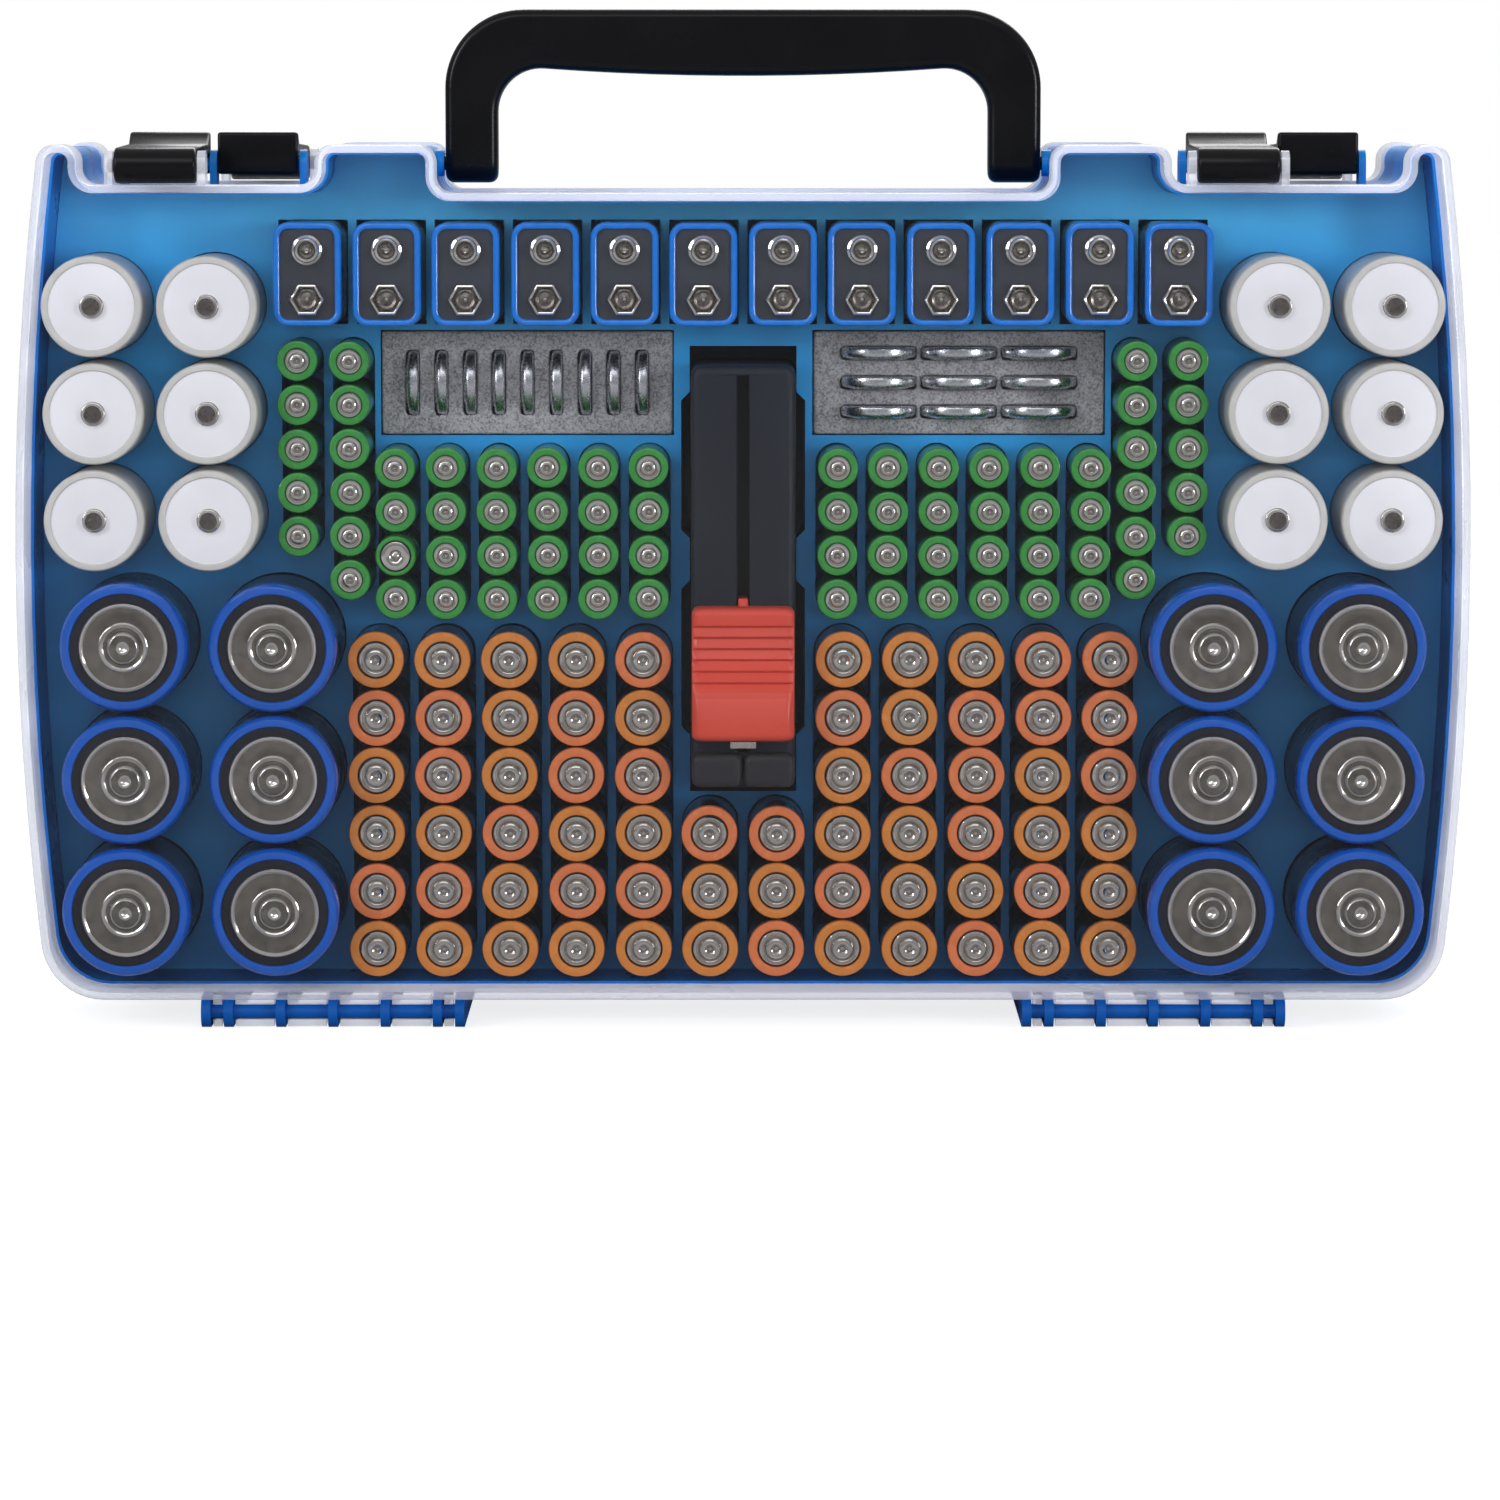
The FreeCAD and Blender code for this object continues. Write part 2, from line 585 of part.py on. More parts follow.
def make_frame():
    """The blue middle of the case: wall, tray posts, hinge plates and rods, keepers, handle bosses."""
    body = new_body("case_frame")
    outer = outlined(body, "Pad", -SEAM, SEAM, S["frame_inset"])
    inner = outlined(body, "Pocket", -SEAM, SEAM, FRAME_INSIDE)
    round_outline(body, inner, -SEAM, SEAM)
    round_outline(body, outer, -SEAM, SEAM)

    bury = S["frame_wall"] * 0.5
    shoulder = (S["handle_recess_half"] + S["latch_recess_inner"]) * 0.5
    shoulder_inside = S["case_top"] - FRAME_INSIDE
    side_low, side_high = S["side_post_low"], S["side_post_high"]
    side_out = S["side_post_out"] - FRAME_INSIDE + bury

    def posts(sketch):
        for sign in (1, -1):
            left, right = shoulder * sign - S["top_post_half"], shoulder * sign + S["top_post_half"]
            bottom, top = shoulder_inside - S["top_post_height"], shoulder_inside + bury
            add_loop(sketch, rectangle(left, bottom, right, top))
            outer, inner = side_out * sign, (side_out - bury - S["side_post_width"]) * sign
            low, high = (inner, outer) if sign > 0 else (outer, inner)
            add_loop(sketch, rectangle(low, side_low, high, side_high))

    pad(body, "y", S["front_deck"] + S["deck_thick"], S["rear_ledge"], posts)

    reach = S["hinge_reach"]
    foot_top = S["foot_radius"] * 2
    under = BASE + S["frame_inset"] + bury
    foot = [
        (-reach, 0),
        (reach, 0),
        (reach, foot_top),
        (SEAM, foot_top),
        (SEAM, under),
        (-SEAM, under),
        (-SEAM, foot_top),
        (-reach, foot_top),
    ]
    round_ends = {1: ("centre", reach, HINGE_Z), len(foot) - 1: ("centre", -reach, HINGE_Z)}
    half = S["plate_thick"] * 0.5
    for centre in HINGE_BLOCKS:
        low, high = centre + PLATE_OFFSETS[0] - half, centre + PLATE_OFFSETS[-1] + half
        pad(body, "x", low, high, lambda sketch: add_loop(sketch, foot, round_ends))

    def between_plates(sketch):
        for centre in HINGE_BLOCKS:
            for left, right in zip(PLATE_OFFSETS, PLATE_OFFSETS[1:]):
                low, high = centre + left + half, centre + right - half
                add_loop(sketch, rectangle(low, -foot_top, high, BASE + S["frame_inset"]))

    pocket(body, "y", -reach * 1.5, reach * 1.5, between_plates)

    def rods(sketch):
        add_circle(sketch, reach, HINGE_Z, S["rod_radius"])
        add_circle(sketch, -reach, HINGE_Z, S["rod_radius"])

    for centre in HINGE_BLOCKS:
        pad(body, "x", centre + PLATE_OFFSETS[0], centre + PLATE_OFFSETS[-1], rods)

    ear_round = S["keeper_radius"] + S["cover_ear_thick"]
    ear_foot = LATCH_FLOOR - S["frame_inset"] - bury
    ear = [(-ear_round, ear_foot), (ear_round, ear_foot), (ear_round, KEEPER_Z), (-ear_round, KEEPER_Z)]
    outer_ear = S["latch_near"] + EAR_INSIDE
    middle_ear = S["latch_near"] - EAR_INSIDE - S["keeper_ear_thick"]
    inner_ear = S["latch_far"] - EAR_INSIDE - S["keeper_ear_thick"]
    for place in (outer_ear, middle_ear, inner_ear):
        for low in (place, -place - S["keeper_ear_thick"]):
            pad(
                body,
                "x",
                low,
                low + S["keeper_ear_thick"],
                lambda sketch: add_loop(sketch, ear, {2: ("centre", 0, KEEPER_Z)}),
            )
    rod_in, rod_out = inner_ear + S["keeper_ear_thick"] * 0.5, outer_ear + S["keeper_ear_thick"] * 0.5
    for low, high in ((rod_in, rod_out), (-rod_out, -rod_in)):
        pad(body, "x", low, high, lambda sketch: add_circle(sketch, 0, KEEPER_Z, S["keeper_radius"]))

    boss_face = S["handle_half_width"] + S["handle_side_gap"]
    wall_out = S["handle_recess_half"] + S["frame_inset"]
    wall_in = S["handle_recess_half"] + FRAME_INSIDE
    for low, high in ((boss_face, wall_out + bury), (-wall_out - bury, -boss_face)):
        pad(body, "x", low, high, lambda sketch: add_circle(sketch, 0, HANDLE_Z, S["handle_boss"]))
    hole = S["handle_pin"] + S["pin_play"]
    for low, high in ((boss_face, wall_in), (-wall_in, -boss_face)):
        pocket(body, "x", low, high, lambda sketch: add_circle(sketch, 0, HANDLE_Z, hole))
    return body


# ---------------------------------------------------------------- latches and handle


def make_latch(label, centre):
    """A latch that turns in the cover's ears and hooks over the keeper rod."""
    body = new_body(label)
    pivot = -S["latch_pivot_reach"]
    barrel = S["latch_barrel"]
    hook = S["keeper_radius"] + S["keeper_play"]
    under = KEEPER_Z + hook
    top = under + S["latch_plate"]
    finger = top + S["latch_lip_rise"]
    profile = [
        (pivot, LATCH_Z - barrel),
        (pivot + barrel * 0.7, LATCH_Z - barrel * 0.7),
        (pivot + barrel * 1.4, under),
        (hook, under),
        (hook, KEEPER_Z - S["latch_lip_drop"]),
        (hook + S["latch_lip"], KEEPER_Z - S["latch_lip_drop"]),
        (hook + S["latch_lip"], finger),
        (hook, finger),
        (-hook, top),
        (pivot, LATCH_Z + barrel),
    ]
    half = S["latch_width"] * 0.5
    turning = {len(profile) - 1: ("centre", pivot, LATCH_Z)}
    pad(body, "x", centre - half, centre + half, lambda sketch: add_loop(sketch, profile, turning))
    reach = half + S["latch_side_gap"] + S["cover_ear_thick"] * 0.75
    pad(
        body,
        "x",
        centre - reach,
        centre + reach,
        lambda sketch: add_circle(sketch, pivot, LATCH_Z, S["latch_pin"]),
    )
    return body


def make_handle():
    """A U-shaped handle with round leg ends and pivot pins that enter the frame's bosses."""
    body = new_body("carry_handle")
    half_thick = S["handle_thick"] * 0.5
    outer = S["handle_half_width"]
    inner = outer - S["handle_leg"]
    top = HANDLE_Z + S["handle_rise"]
    under = top - S["handle_grip_end"]
    profile = [
        (-outer, HANDLE_Z),
        (-inner, HANDLE_Z),
        (-inner, under),
        (inner, under),
        (inner, HANDLE_Z),
        (outer, HANDLE_Z),
        (outer, top),
        (-outer, top),
    ]
    bow = {2: ("radius", S["handle_grip_bow"])}
    pad(body, "y", -half_thick, half_thick, lambda sketch: add_loop(sketch, profile, bow))
    for low, high in ((inner, outer), (-outer, -inner)):
        pad(body, "x", low, high, lambda sketch: add_circle(sketch, 0, HANDLE_Z, half_thick))

    def corner(u, v):
        def wanted(edge):
            centre = edge.BoundBox.Center
            return runs_along(edge, Y_AXIS) and near(abs(centre.x), u.value) and near(centre.z, v.value)

        return wanted

    round_edges(body, corner(outer, top), S["handle_outer_round"])
    round_edges(body, corner(inner, under), S["handle_inner_round"])

    def sharp(edge):
        box = edge.BoundBox
        on_face = near(box.YLength, 0) and near(abs(box.YMin), half_thick.value)
        leg_end = near(box.XLength, 0) and near(box.ZMin, HANDLE_Z.value - half_thick.value)
        above_legs = not runs_along(edge, X_AXIS) or box.ZMin > HANDLE_Z.value + 1
        return (on_face and above_legs) or leg_end

    round_edges(body, sharp, S["handle_edge_round"])
    pin_end = S["handle_recess_half"] + FRAME_INSIDE - S["handle_side_gap"]
    for low, high in ((outer - S["handle_leg"] * 0.5, pin_end), (-pin_end, -outer + S["handle_leg"] * 0.5)):
        pad(body, "x", low, high, lambda sketch: add_circle(sketch, 0, HANDLE_Z, S["handle_pin"]))
    return body


# ---------------------------------------------------------------- places of the standing cells


def both_sides(places):
    """The places and their mirror images in the middle plane."""
    return places + [(-place[0],) + place[1:] for place in places]


AA_COLUMNS = both_sides([(S["aa_column_pitch"] * (k + 0.5), 3 if k == 0 else 6) for k in range(6)])
AAA_INNER = [S["aaa_column_first"] + S["aaa_column_pitch"] * k for k in range(6)]
AAA_OUTER = [S["aaa_outer_first"] + S["aaa_outer_pitch"] * k for k in range(2)]
AAA_COLUMNS = both_sides(
    [(u, S["aaa_inner_high"], 4) for u in AAA_INNER]
    + [(u, S["aaa_outer_high"], rows) for u, rows in zip(AAA_OUTER, (6, 5))]
)
C_COLUMNS = [S["c_column_inner"] + S["c_column_pitch"] * k for k in range(2)]
D_COLUMNS = [S["d_column_inner"] + S["d_column_pitch"] * k for k in range(2)]
C_ROWS = [S["c_row_high"] - S["c_row_pitch"] * k for k in range(3)]
D_ROWS = [S["d_row_low"] + S["d_row_pitch"] * k for k in range(3)]

AA_ROWS = [S["aa_row_low"] + S["aa_row_pitch"] * row for row in range(6)]
AA_PLACES = [(u, v) for u, rows in AA_COLUMNS for v in AA_ROWS[:rows]]
AAA_PLACES = [(u, high - S["aaa_row_pitch"] * row) for u, high, rows in AAA_COLUMNS for row in range(rows)]
C_PLACES = both_sides([(u, v) for u in C_COLUMNS for v in C_ROWS])
D_PLACES = both_sides([(u, v) for u in D_COLUMNS for v in D_ROWS])
BLOCK_PLACES = both_sides([(S["block_pitch"] * (k + 0.5), S["block_row"]) for k in range(6)])


def box_about(place, half_width, half_height):
    u, v = place
    return rectangle(u - half_width, v - half_height, u + half_width, v + half_height)


# ---------------------------------------------------------------- front tray

FOAM_HALF = S["foam_width"] * 0.5 + S["foam_play"]
TESTER_HALF = S["tester_width"] * 0.5 + S["tester_play"]


def tray_plate(label, low, high):
    """The flat plate of a tray, which drops into the frame."""
    body = new_body(label)
    corners = outlined(body, "Pad", low, high, FRAME_INSIDE + S["tray_play"])
    round_outline(body, corners, low, high)
    return body


def make_front_tray():
    """A deck with wells for the standing cells, the tester and two foam pads."""
    deck = S["front_deck"]
    seat = deck + S["deck_thick"] * 0.5
    wall = S["well_wall"]
    play = S["well_play"]
    body = tray_plate("front_tray", deck, deck + S["deck_thick"])

    aa_half = S["aa_dia"] * 0.5 + play
    aaa_half = S["aaa_dia"] * 0.5 + play
    aa_edge = S["aa_column_pitch"] * 5.5 + aa_half + wall
    aa_low = S["aa_row_low"] - aa_half - wall
    aa_high = S["aa_row_low"] + S["aa_row_pitch"] * 5 + aa_half + wall
    pad(
        body,
        "y",
        seat,
        S["aa_bottom"] + wall,
        lambda sketch: add_loop(sketch, rectangle(-aa_edge, aa_low, aa_edge, aa_high)),
    )

    drop = S["aaa_row_pitch"]
    inner_edge = AAA_INNER[0] - aaa_half - wall
    step_edge = AAA_OUTER[0] - aaa_half - wall
    outer_edge = AAA_OUTER[1] + aaa_half + wall
    inner_top = S["aaa_inner_high"] + aaa_half + wall
    outer_top = S["aaa_outer_high"] + aaa_half + wall
    outer_low = S["aaa_outer_high"] - drop * 5 - aaa_half - wall

    def aaa_blocks(sketch):
        for side in (1, -1):
            corners = [
                (inner_edge * side, aa_high),
                (step_edge * side, aa_high),
                (step_edge * side, outer_low),
                (outer_edge * side, outer_low),
                (outer_edge * side, outer_top),
                (step_edge * side, outer_top),
                (step_edge * side, inner_top),
                (inner_edge * side, inner_top),
            ]
            add_loop(sketch, corners)

    pad(body, "y", seat, S["aaa_bottom"] + wall, aaa_blocks)

    block_half = S["block_width"] * 0.5 + play
    block_rise = S["block_height"] * 0.5 + play
    row_edge = S["block_pitch"] * 5.5 + block_half + wall
    pad(
        body,
        "y",
        seat,
        S["block_bottom"] + wall,
        lambda sketch: add_loop(sketch, box_about((0, S["block_row"]), row_edge, block_rise + wall)),
    )
    pocket_low, pocket_high = S["pocket_low"], S["pocket_high"]
    pocket_wall = TESTER_HALF + S["finger_notch"] + wall * 0.8
    pad(
        body,
        "y",
        seat,
        S["tester_back"] + wall,
        lambda sketch: add_loop(
            sketch, rectangle(-pocket_wall, pocket_low - wall, pocket_wall, pocket_high + wall)
        ),
    )
    foam_middle = (S["foam_low"] + S["foam_high"]) * 0.5
    foam_rise = (S["foam_high"] - S["foam_low"]) * 0.5 + S["foam_play"]
    foam_back = S["foam_face"] + S["foam_thick"]

    def foam_boxes(sketch, spare):
        for side in (1, -1):
            place = (S["foam_centre"] * side, foam_middle)
            add_loop(sketch, box_about(place, FOAM_HALF + spare, foam_rise + spare))

    pad(body, "y", seat, foam_back + wall, lambda sketch: foam_boxes(sketch, wall))

    def cups(radius, columns, rows):
        def draw(sketch):
            for u in columns:
                for side in (1, -1):
                    add_stadium(sketch, u * side, rows[0], rows[-1], radius)

        return draw

    cup = play + S["cup_wall"]
    pad(body, "y", seat, S["d_bottom"] + wall, cups(S["d_dia"] * 0.5 + cup, D_COLUMNS, D_ROWS))
    pad(body, "y", seat, S["c_bottom"] + wall, cups(S["c_dia"] * 0.5 + cup, C_COLUMNS, C_ROWS[::-1]))

    def aa_wells(sketch):
        for u, rows in AA_COLUMNS:
            add_stadium(sketch, u, AA_ROWS[0], AA_ROWS[rows - 1], aa_half)

    def aaa_wells(sketch):
        for u, high, rows in AAA_COLUMNS:
            add_stadium(sketch, u, high - drop * (rows - 1), high, aaa_half)

    def round_wells(places, radius):
        def draw(sketch):
            for u, v in places:
                add_circle(sketch, u, v, radius)

        return draw

    def block_wells(sketch):
        for place in BLOCK_PLACES:
            add_loop(sketch, box_about(place, block_half, block_rise))

    pocket(body, "y", deck, S["aa_bottom"], aa_wells)
    pocket(body, "y", deck, S["aaa_bottom"], aaa_wells)
    pocket(body, "y", deck, S["c_bottom"], round_wells(C_PLACES, S["c_dia"] * 0.5 + play))
    pocket(body, "y", deck, S["d_bottom"], round_wells(D_PLACES, S["d_dia"] * 0.5 + play))
    pocket(body, "y", deck, S["block_bottom"], block_wells)
    pocket(body, "y", deck, foam_back, lambda sketch: foam_boxes(sketch, 0))
    pocket(
        body,
        "y",
        deck,
        S["tester_back"],
        lambda sketch: add_loop(sketch, rectangle(-TESTER_HALF, pocket_low, TESTER_HALF, pocket_high)),
    )
    chamfer = S["finger_notch"]
    notch = TESTER_HALF + chamfer

    def finger_notches(sketch):
        for ends in (("notch_low", "notch_mid_low"), ("notch_mid_high", "notch_high")):
            low, high = S[ends[0]], S[ends[1]]
            upper = [(notch, high - chamfer), (TESTER_HALF, high)]
            right = [(TESTER_HALF, low), (notch, low + chamfer)] + upper
            add_loop(sketch, right + [(-u, v) for u, v in reversed(right)])

    pocket(body, "y", deck, deck + S["finger_depth"], finger_notches)
    return body


# ---------------------------------------------------------------- rear tray and its lying cells


def column_of(u, high, pitch, rows):
    """One column of lying cells: its middle and the height of each cell."""
    return (u, [high - pitch * row for row in range(rows)])


LOW_AAA_UPPER = [S["low_aaa_side"] + S["low_aaa_step"] * k for k in range(2)]
LOW_AAA_ROW = [S["low_aaa_step"] * (k + 0.5) for k in range(3)]

# node: diameter, length, columns
LYING = {
    "li_ion_cells": (
        S["li_dia"],
        S["li_len"],
        both_sides([column_of(S["li_side"], S["li_high"], S["li_pitch"], 3)]),
    ),
    "cr2_cells": (
        S["photo_two_dia"],
        S["photo_two_len"],
        both_sides([column_of(S["photo_two_side"], S["photo_two_high"], S["photo_two_pitch"], 3)]),
    ),
    "cr123_cells": (
        S["photo_dia"],
        S["photo_len"],
        both_sides([column_of(S["photo_side"], S["photo_high"], S["photo_pitch"], 6)]),
    ),
    "six_volt_cells": (
        S["six_volt_dia"],
        S["six_volt_len"],
        [column_of(as_size(0), S["six_volt_high"], S["six_volt_pitch"], 10)],
    ),
    "remote_cells": (
        S["remote_dia"],
        S["remote_len"],
        [column_of(S["remote_pitch"] * k, S["remote_row"], as_size(0), 1) for k in range(-2, 3)],
    ),
    "aa_cells_rear": (
        S["aa_dia"],
        S["aa_len"],
        both_sides([column_of(S["rear_aa_side"], S["rear_aa_high"], S["rear_aa_pitch"], 6)]),
    ),
    "aaa_cells_rear_upper": (
        S["aaa_dia"],
        S["aaa_len"],
        both_sides([column_of(S["rear_aaa_side"], S["rear_aaa_high"], S["rear_aaa_pitch"], 7)]),
    ),
    "aaa_cells_rear_lower": (
        S["aaa_dia"],
        S["aaa_len"],
        both_sides(
            [column_of(u, S["low_aaa_high"], S["low_aaa_pitch"], 2) for u in LOW_AAA_UPPER]
            + [column_of(u, S["low_aaa_row"], as_size(0), 1) for u in LOW_AAA_ROW]
        ),
    ),
}


def make_rear_tray():
    """A raised plateau with a bed for each lying cell."""
    ledge, face = S["rear_ledge"], S["rear_plateau"]
    body = tray_plate("rear_tray", ledge, ledge + S["deck_thick"])
    half = S["plateau_half_width"]
    low, high = S["plateau_low"], S["plateau_high"]
    pad(body, "y", ledge, face, lambda sketch: add_loop(sketch, rectangle(-half, low, half, high)))

    def plateau_corner(edge):
        box = edge.BoundBox
        return runs_along(edge, Y_AXIS) and near(abs(box.XMin), half.value) and near(box.YMax, face.value)

    round_edges(body, plateau_corner, S["plateau_round"])

    wall = S["well_wall"] * 0.8
    dia, length, columns = LYING["li_ion_cells"]
    bed_half = length * 0.5 + S["end_play"]
    bed_rise = dia * 0.5 + S["well_play"]

    def deep_blocks(sketch):
        for u, heights in columns:
            bottom, top = heights[-1] - bed_rise - wall, heights[0] + bed_rise + wall
            add_loop(sketch, rectangle(u - bed_half - wall, bottom, u + bed_half + wall, top))

    pad(body, "y", S["rear_cell_top"] - dia - wall, ledge + S["deck_thick"] * 0.5, deep_blocks)

    def beds(node):
        bed_dia, bed_length, bed_columns = LYING[node]
        out, up = bed_length * 0.5 + S["end_play"], bed_dia * 0.5 + S["well_play"]

        def draw(sketch):
            for u, heights in bed_columns:
                if node == "aaa_cells_rear_upper":
                    add_loop(sketch, rectangle(u - out, heights[-1] - up, u + out, heights[0] + up))
                    continue
                for v in heights:
                    add_loop(sketch, box_about((u, v), out, up))

        return draw

    for node in LYING:
        pocket(body, "y", S["rear_cell_top"] - LYING[node][0], face, beds(node))
    return body


def make_lying_cells(node):
    """Cells that lie in their beds, along X."""
    body = new_body(node)
    dia, length, columns = LYING[node]
    radius = dia * 0.5
    depth = S["rear_cell_top"] - radius

    for u, heights in columns:

        def ends(sketch):
            for v in heights:
                add_circle(sketch, depth, v, radius)

        pad(body, "x", u - length * 0.5, u + length * 0.5, ends)
    return body


# ---------------------------------------------------------------- standing cells


def make_standing_cells(label, kind, places):
    """Cells that stand in their wells. The small ones are plain, the C and D cells have their terminals."""
    body = new_body(label)
    bottom = S[kind + "_bottom"]
    tip = bottom - S[kind + "_len"]

    def circles(radius):
        def draw(sketch):
            for u, v in places:
                add_circle(sketch, u, v, radius)

        return draw

    if kind + "_nub" not in S:
        pad(body, "y", tip, bottom, circles(S[kind + "_dia"] * 0.5))
        return body
    shoulder = tip + S["nub_height"]
    pad(body, "y", shoulder, bottom, circles(S[kind + "_dia"] * 0.5))
    pad(body, "y", tip, shoulder, circles(S[kind + "_nub"] * 0.5))
    return body


def make_nine_volt_cells():
    """Nine-volt blocks with a round and a six-sided terminal each."""
    body = new_body("nine_volt_cells")
    bottom = S["block_bottom"]
    top = bottom - S["block_len"]
    half_width, half_height = S["block_width"] * 0.5, S["block_height"] * 0.5
    spread = S["terminal_pitch"] * 0.5

    def blocks(sketch):
        for place in BLOCK_PLACES:
            add_loop(sketch, box_about(place, half_width, half_height))

    def terminals(sketch):
        radius = S["terminal_hex"]
        turns = [math.radians(60 * k) for k in range(6)]
        for u, v in BLOCK_PLACES:
            add_circle(sketch, u, v + spread, S["terminal_round"])
            hexagon = [(u + radius * math.cos(t), v - spread + radius * math.sin(t)) for t in turns]
            add_loop(sketch, hexagon)

    pad(body, "y", top, bottom, blocks)
    pad(body, "y", top - S["terminal_height"], top, terminals)
    return body


# ---------------------------------------------------------------- tester


def make_tester_body():
    """The tester's housing with the slot that its slider runs in."""
    body = new_body("tester_body")
    half, rail = S["tester_width"] * 0.5, S["rail_width"] * 0.5
    face = S["tester_face"]
    pad(
        body,
        "y",
        face,
        S["tester_back"],
        lambda sketch: add_loop(sketch, rectangle(-half, S["tester_low"], half, S["tester_high"])),
    )
    pocket(
        body,
        "y",
        face,
        face + S["rail_depth"],
        lambda sketch: add_loop(sketch, rectangle(-rail, S["anvil_high"], rail, S["rail_high"])),
    )
    round_edges(
        body,
        lambda edge: runs_along(edge, Y_AXIS) and near(abs(edge.BoundBox.XMin), half.value),
        S["well_wall"],
    )
    return body


def make_tester_slider():
    """The tester's upper jaw: a ribbed block with a tongue in the slot."""
    body = new_body("tester_slider")
    half = S["slider_width"] * 0.5
    low = S["slider_low"]
    high = low + S["slider_height"]
    back = S["tester_face"] - S["slider_play"]
    front = back - S["slider_thick"]
    pad(body, "y", front, back, lambda sketch: add_loop(sketch, rectangle(-half, low, half, high)))
    round_edges(
        body,
        lambda edge: near(edge.BoundBox.YMin, front.value) and near(edge.BoundBox.YMax, front.value),
        S["rib_rise"],
    )
    tongue = S["rail_width"] * 0.5 - S["slider_play"]
    tongue_end = S["tester_face"] + S["rail_depth"] - S["slider_play"]
    pad(
        body,
        "y",
        back - S["slider_play"],
        tongue_end,
        lambda sketch: add_loop(sketch, rectangle(-tongue, low, tongue, high)),
    )
    base = S["rib_pitch"] * 0.33
    crest = S["rib_pitch"] * 0.16

    def ribs(sketch):
        for k in range(6):
            v = S["rib_high"] - S["rib_pitch"] * k
            inside, outside = front + S["rib_rise"] * 0.5, front - S["rib_rise"]
            rib = [(inside, v - base), (inside, v + base), (outside, v + crest), (outside, v - crest)]
            add_loop(sketch, rib)

    rib_half = half - S["rib_rise"] * 1.5
    pad(body, "x", -rib_half, rib_half, ribs)
    return body


def make_slider_contact():
    """The metal contact under the slider."""
    body = new_body("slider_contact")
    half = S["contact_width"] * 0.5
    front = S["tester_face"] - S["slider_play"] - S["slider_thick"]
    low = S["slider_low"] - S["contact_thick"]
    pad(
        body,
        "y",
        front + S["rib_rise"],
        S["tester_face"] - S["slider_play"] * 2,
        lambda sketch: add_loop(sketch, rectangle(-half, low, half, S["slider_low"])),
    )
    return body


def make_tester_anvil():
    """The tester's lower jaw, with a groove that centres a cell."""
    body = new_body("tester_anvil")
    half = S["slider_width"] * 0.5
    front = S["tester_face"] - S["anvil_thick"]
    low, high = S["anvil_low"], S["anvil_high"]
    groove = S["rail_width"] * 0.25
    pad(
        body,
        "y",
        front,
        S["tester_face"],
        lambda sketch: add_loop(sketch, rectangle(-half, low, half, high)),
    )
    pocket(
        body,
        "y",
        front,
        front + S["anvil_thick"] * 0.3,
        lambda sketch: add_loop(sketch, rectangle(-groove, low, groove, high)),
    )
    return body


# ---------------------------------------------------------------- foam pads and coin cells


def foam_block(label, centre):
    body = new_body(label)
    half = S["foam_width"] * 0.5
    pad(
        body,
        "y",
        S["foam_face"],
        S["foam_face"] + S["foam_thick"],
        lambda sketch: add_loop(
            sketch, rectangle(centre - half, S["foam_low"], centre + half, S["foam_high"])
        ),
    )
    return body


COIN_RADIUS = S["coin_dia"] * 0.5
FOAM_MIDDLE = (S["foam_low"] + S["foam_high"]) * 0.5
UPRIGHT_FRONT = S["foam_face"] - S["upright_coin_out"]
LYING_FRONT = S["foam_face"] - S["lying_coin_out"]
UPRIGHT_PLACES = [-S["foam_centre"] + S["coin_pitch"] * k for k in range(-4, 5)]
LYING_ROWS = [FOAM_MIDDLE + S["coin_stack_pitch"] * k for k in (-1, 0, 1)]
LYING_COLUMNS = [S["foam_centre"] + S["coin_row_pitch"] * k for k in (-1, 0, 1)]


def make_left_foam():
    """Foam with nine upright slots."""
    body = foam_block("coin_foam_left", -S["foam_centre"])
    slot = S["coin_thick"] * 0.5 + S["coin_play"]

    def slots(sketch):
        for u in UPRIGHT_PLACES:
            add_loop(sketch, box_about((u, FOAM_MIDDLE), slot, COIN_RADIUS + S["coin_play"]))

    pocket(body, "y", S["foam_face"], UPRIGHT_FRONT + S["coin_dia"], slots)
    return body


def make_right_foam():
    """Foam with three long slots, one above the other."""
    body = foam_block("coin_foam_right", S["foam_centre"])
    slot = S["coin_thick"] * 0.5 + S["coin_play"]
    reach = S["coin_row_pitch"] + COIN_RADIUS + S["coin_play"]

    def slots(sketch):
        for v in LYING_ROWS:
            add_loop(sketch, box_about((S["foam_centre"], v), reach, slot))

    pocket(body, "y", S["foam_face"], LYING_FRONT + S["coin_dia"], slots)
    return body


def make_left_coins():
    body = new_body("coin_cells_left")
    half = S["coin_thick"] * 0.5
    for u in UPRIGHT_PLACES:
        pad(
            body,
            "x",
            u - half,
            u + half,
            lambda sketch: add_circle(sketch, UPRIGHT_FRONT + COIN_RADIUS, FOAM_MIDDLE, COIN_RADIUS),
        )
    return body


def make_right_coins():
    body = new_body("coin_cells_right")
    half = S["coin_thick"] * 0.5

    def discs(sketch):
        for u in LYING_COLUMNS:
            add_circle(sketch, u, LYING_FRONT + COIN_RADIUS, COIN_RADIUS)

    for v in LYING_ROWS:
        pad(body, "z", v - half, v + half, discs)
    return body


# ---------------------------------------------------------------- build and export

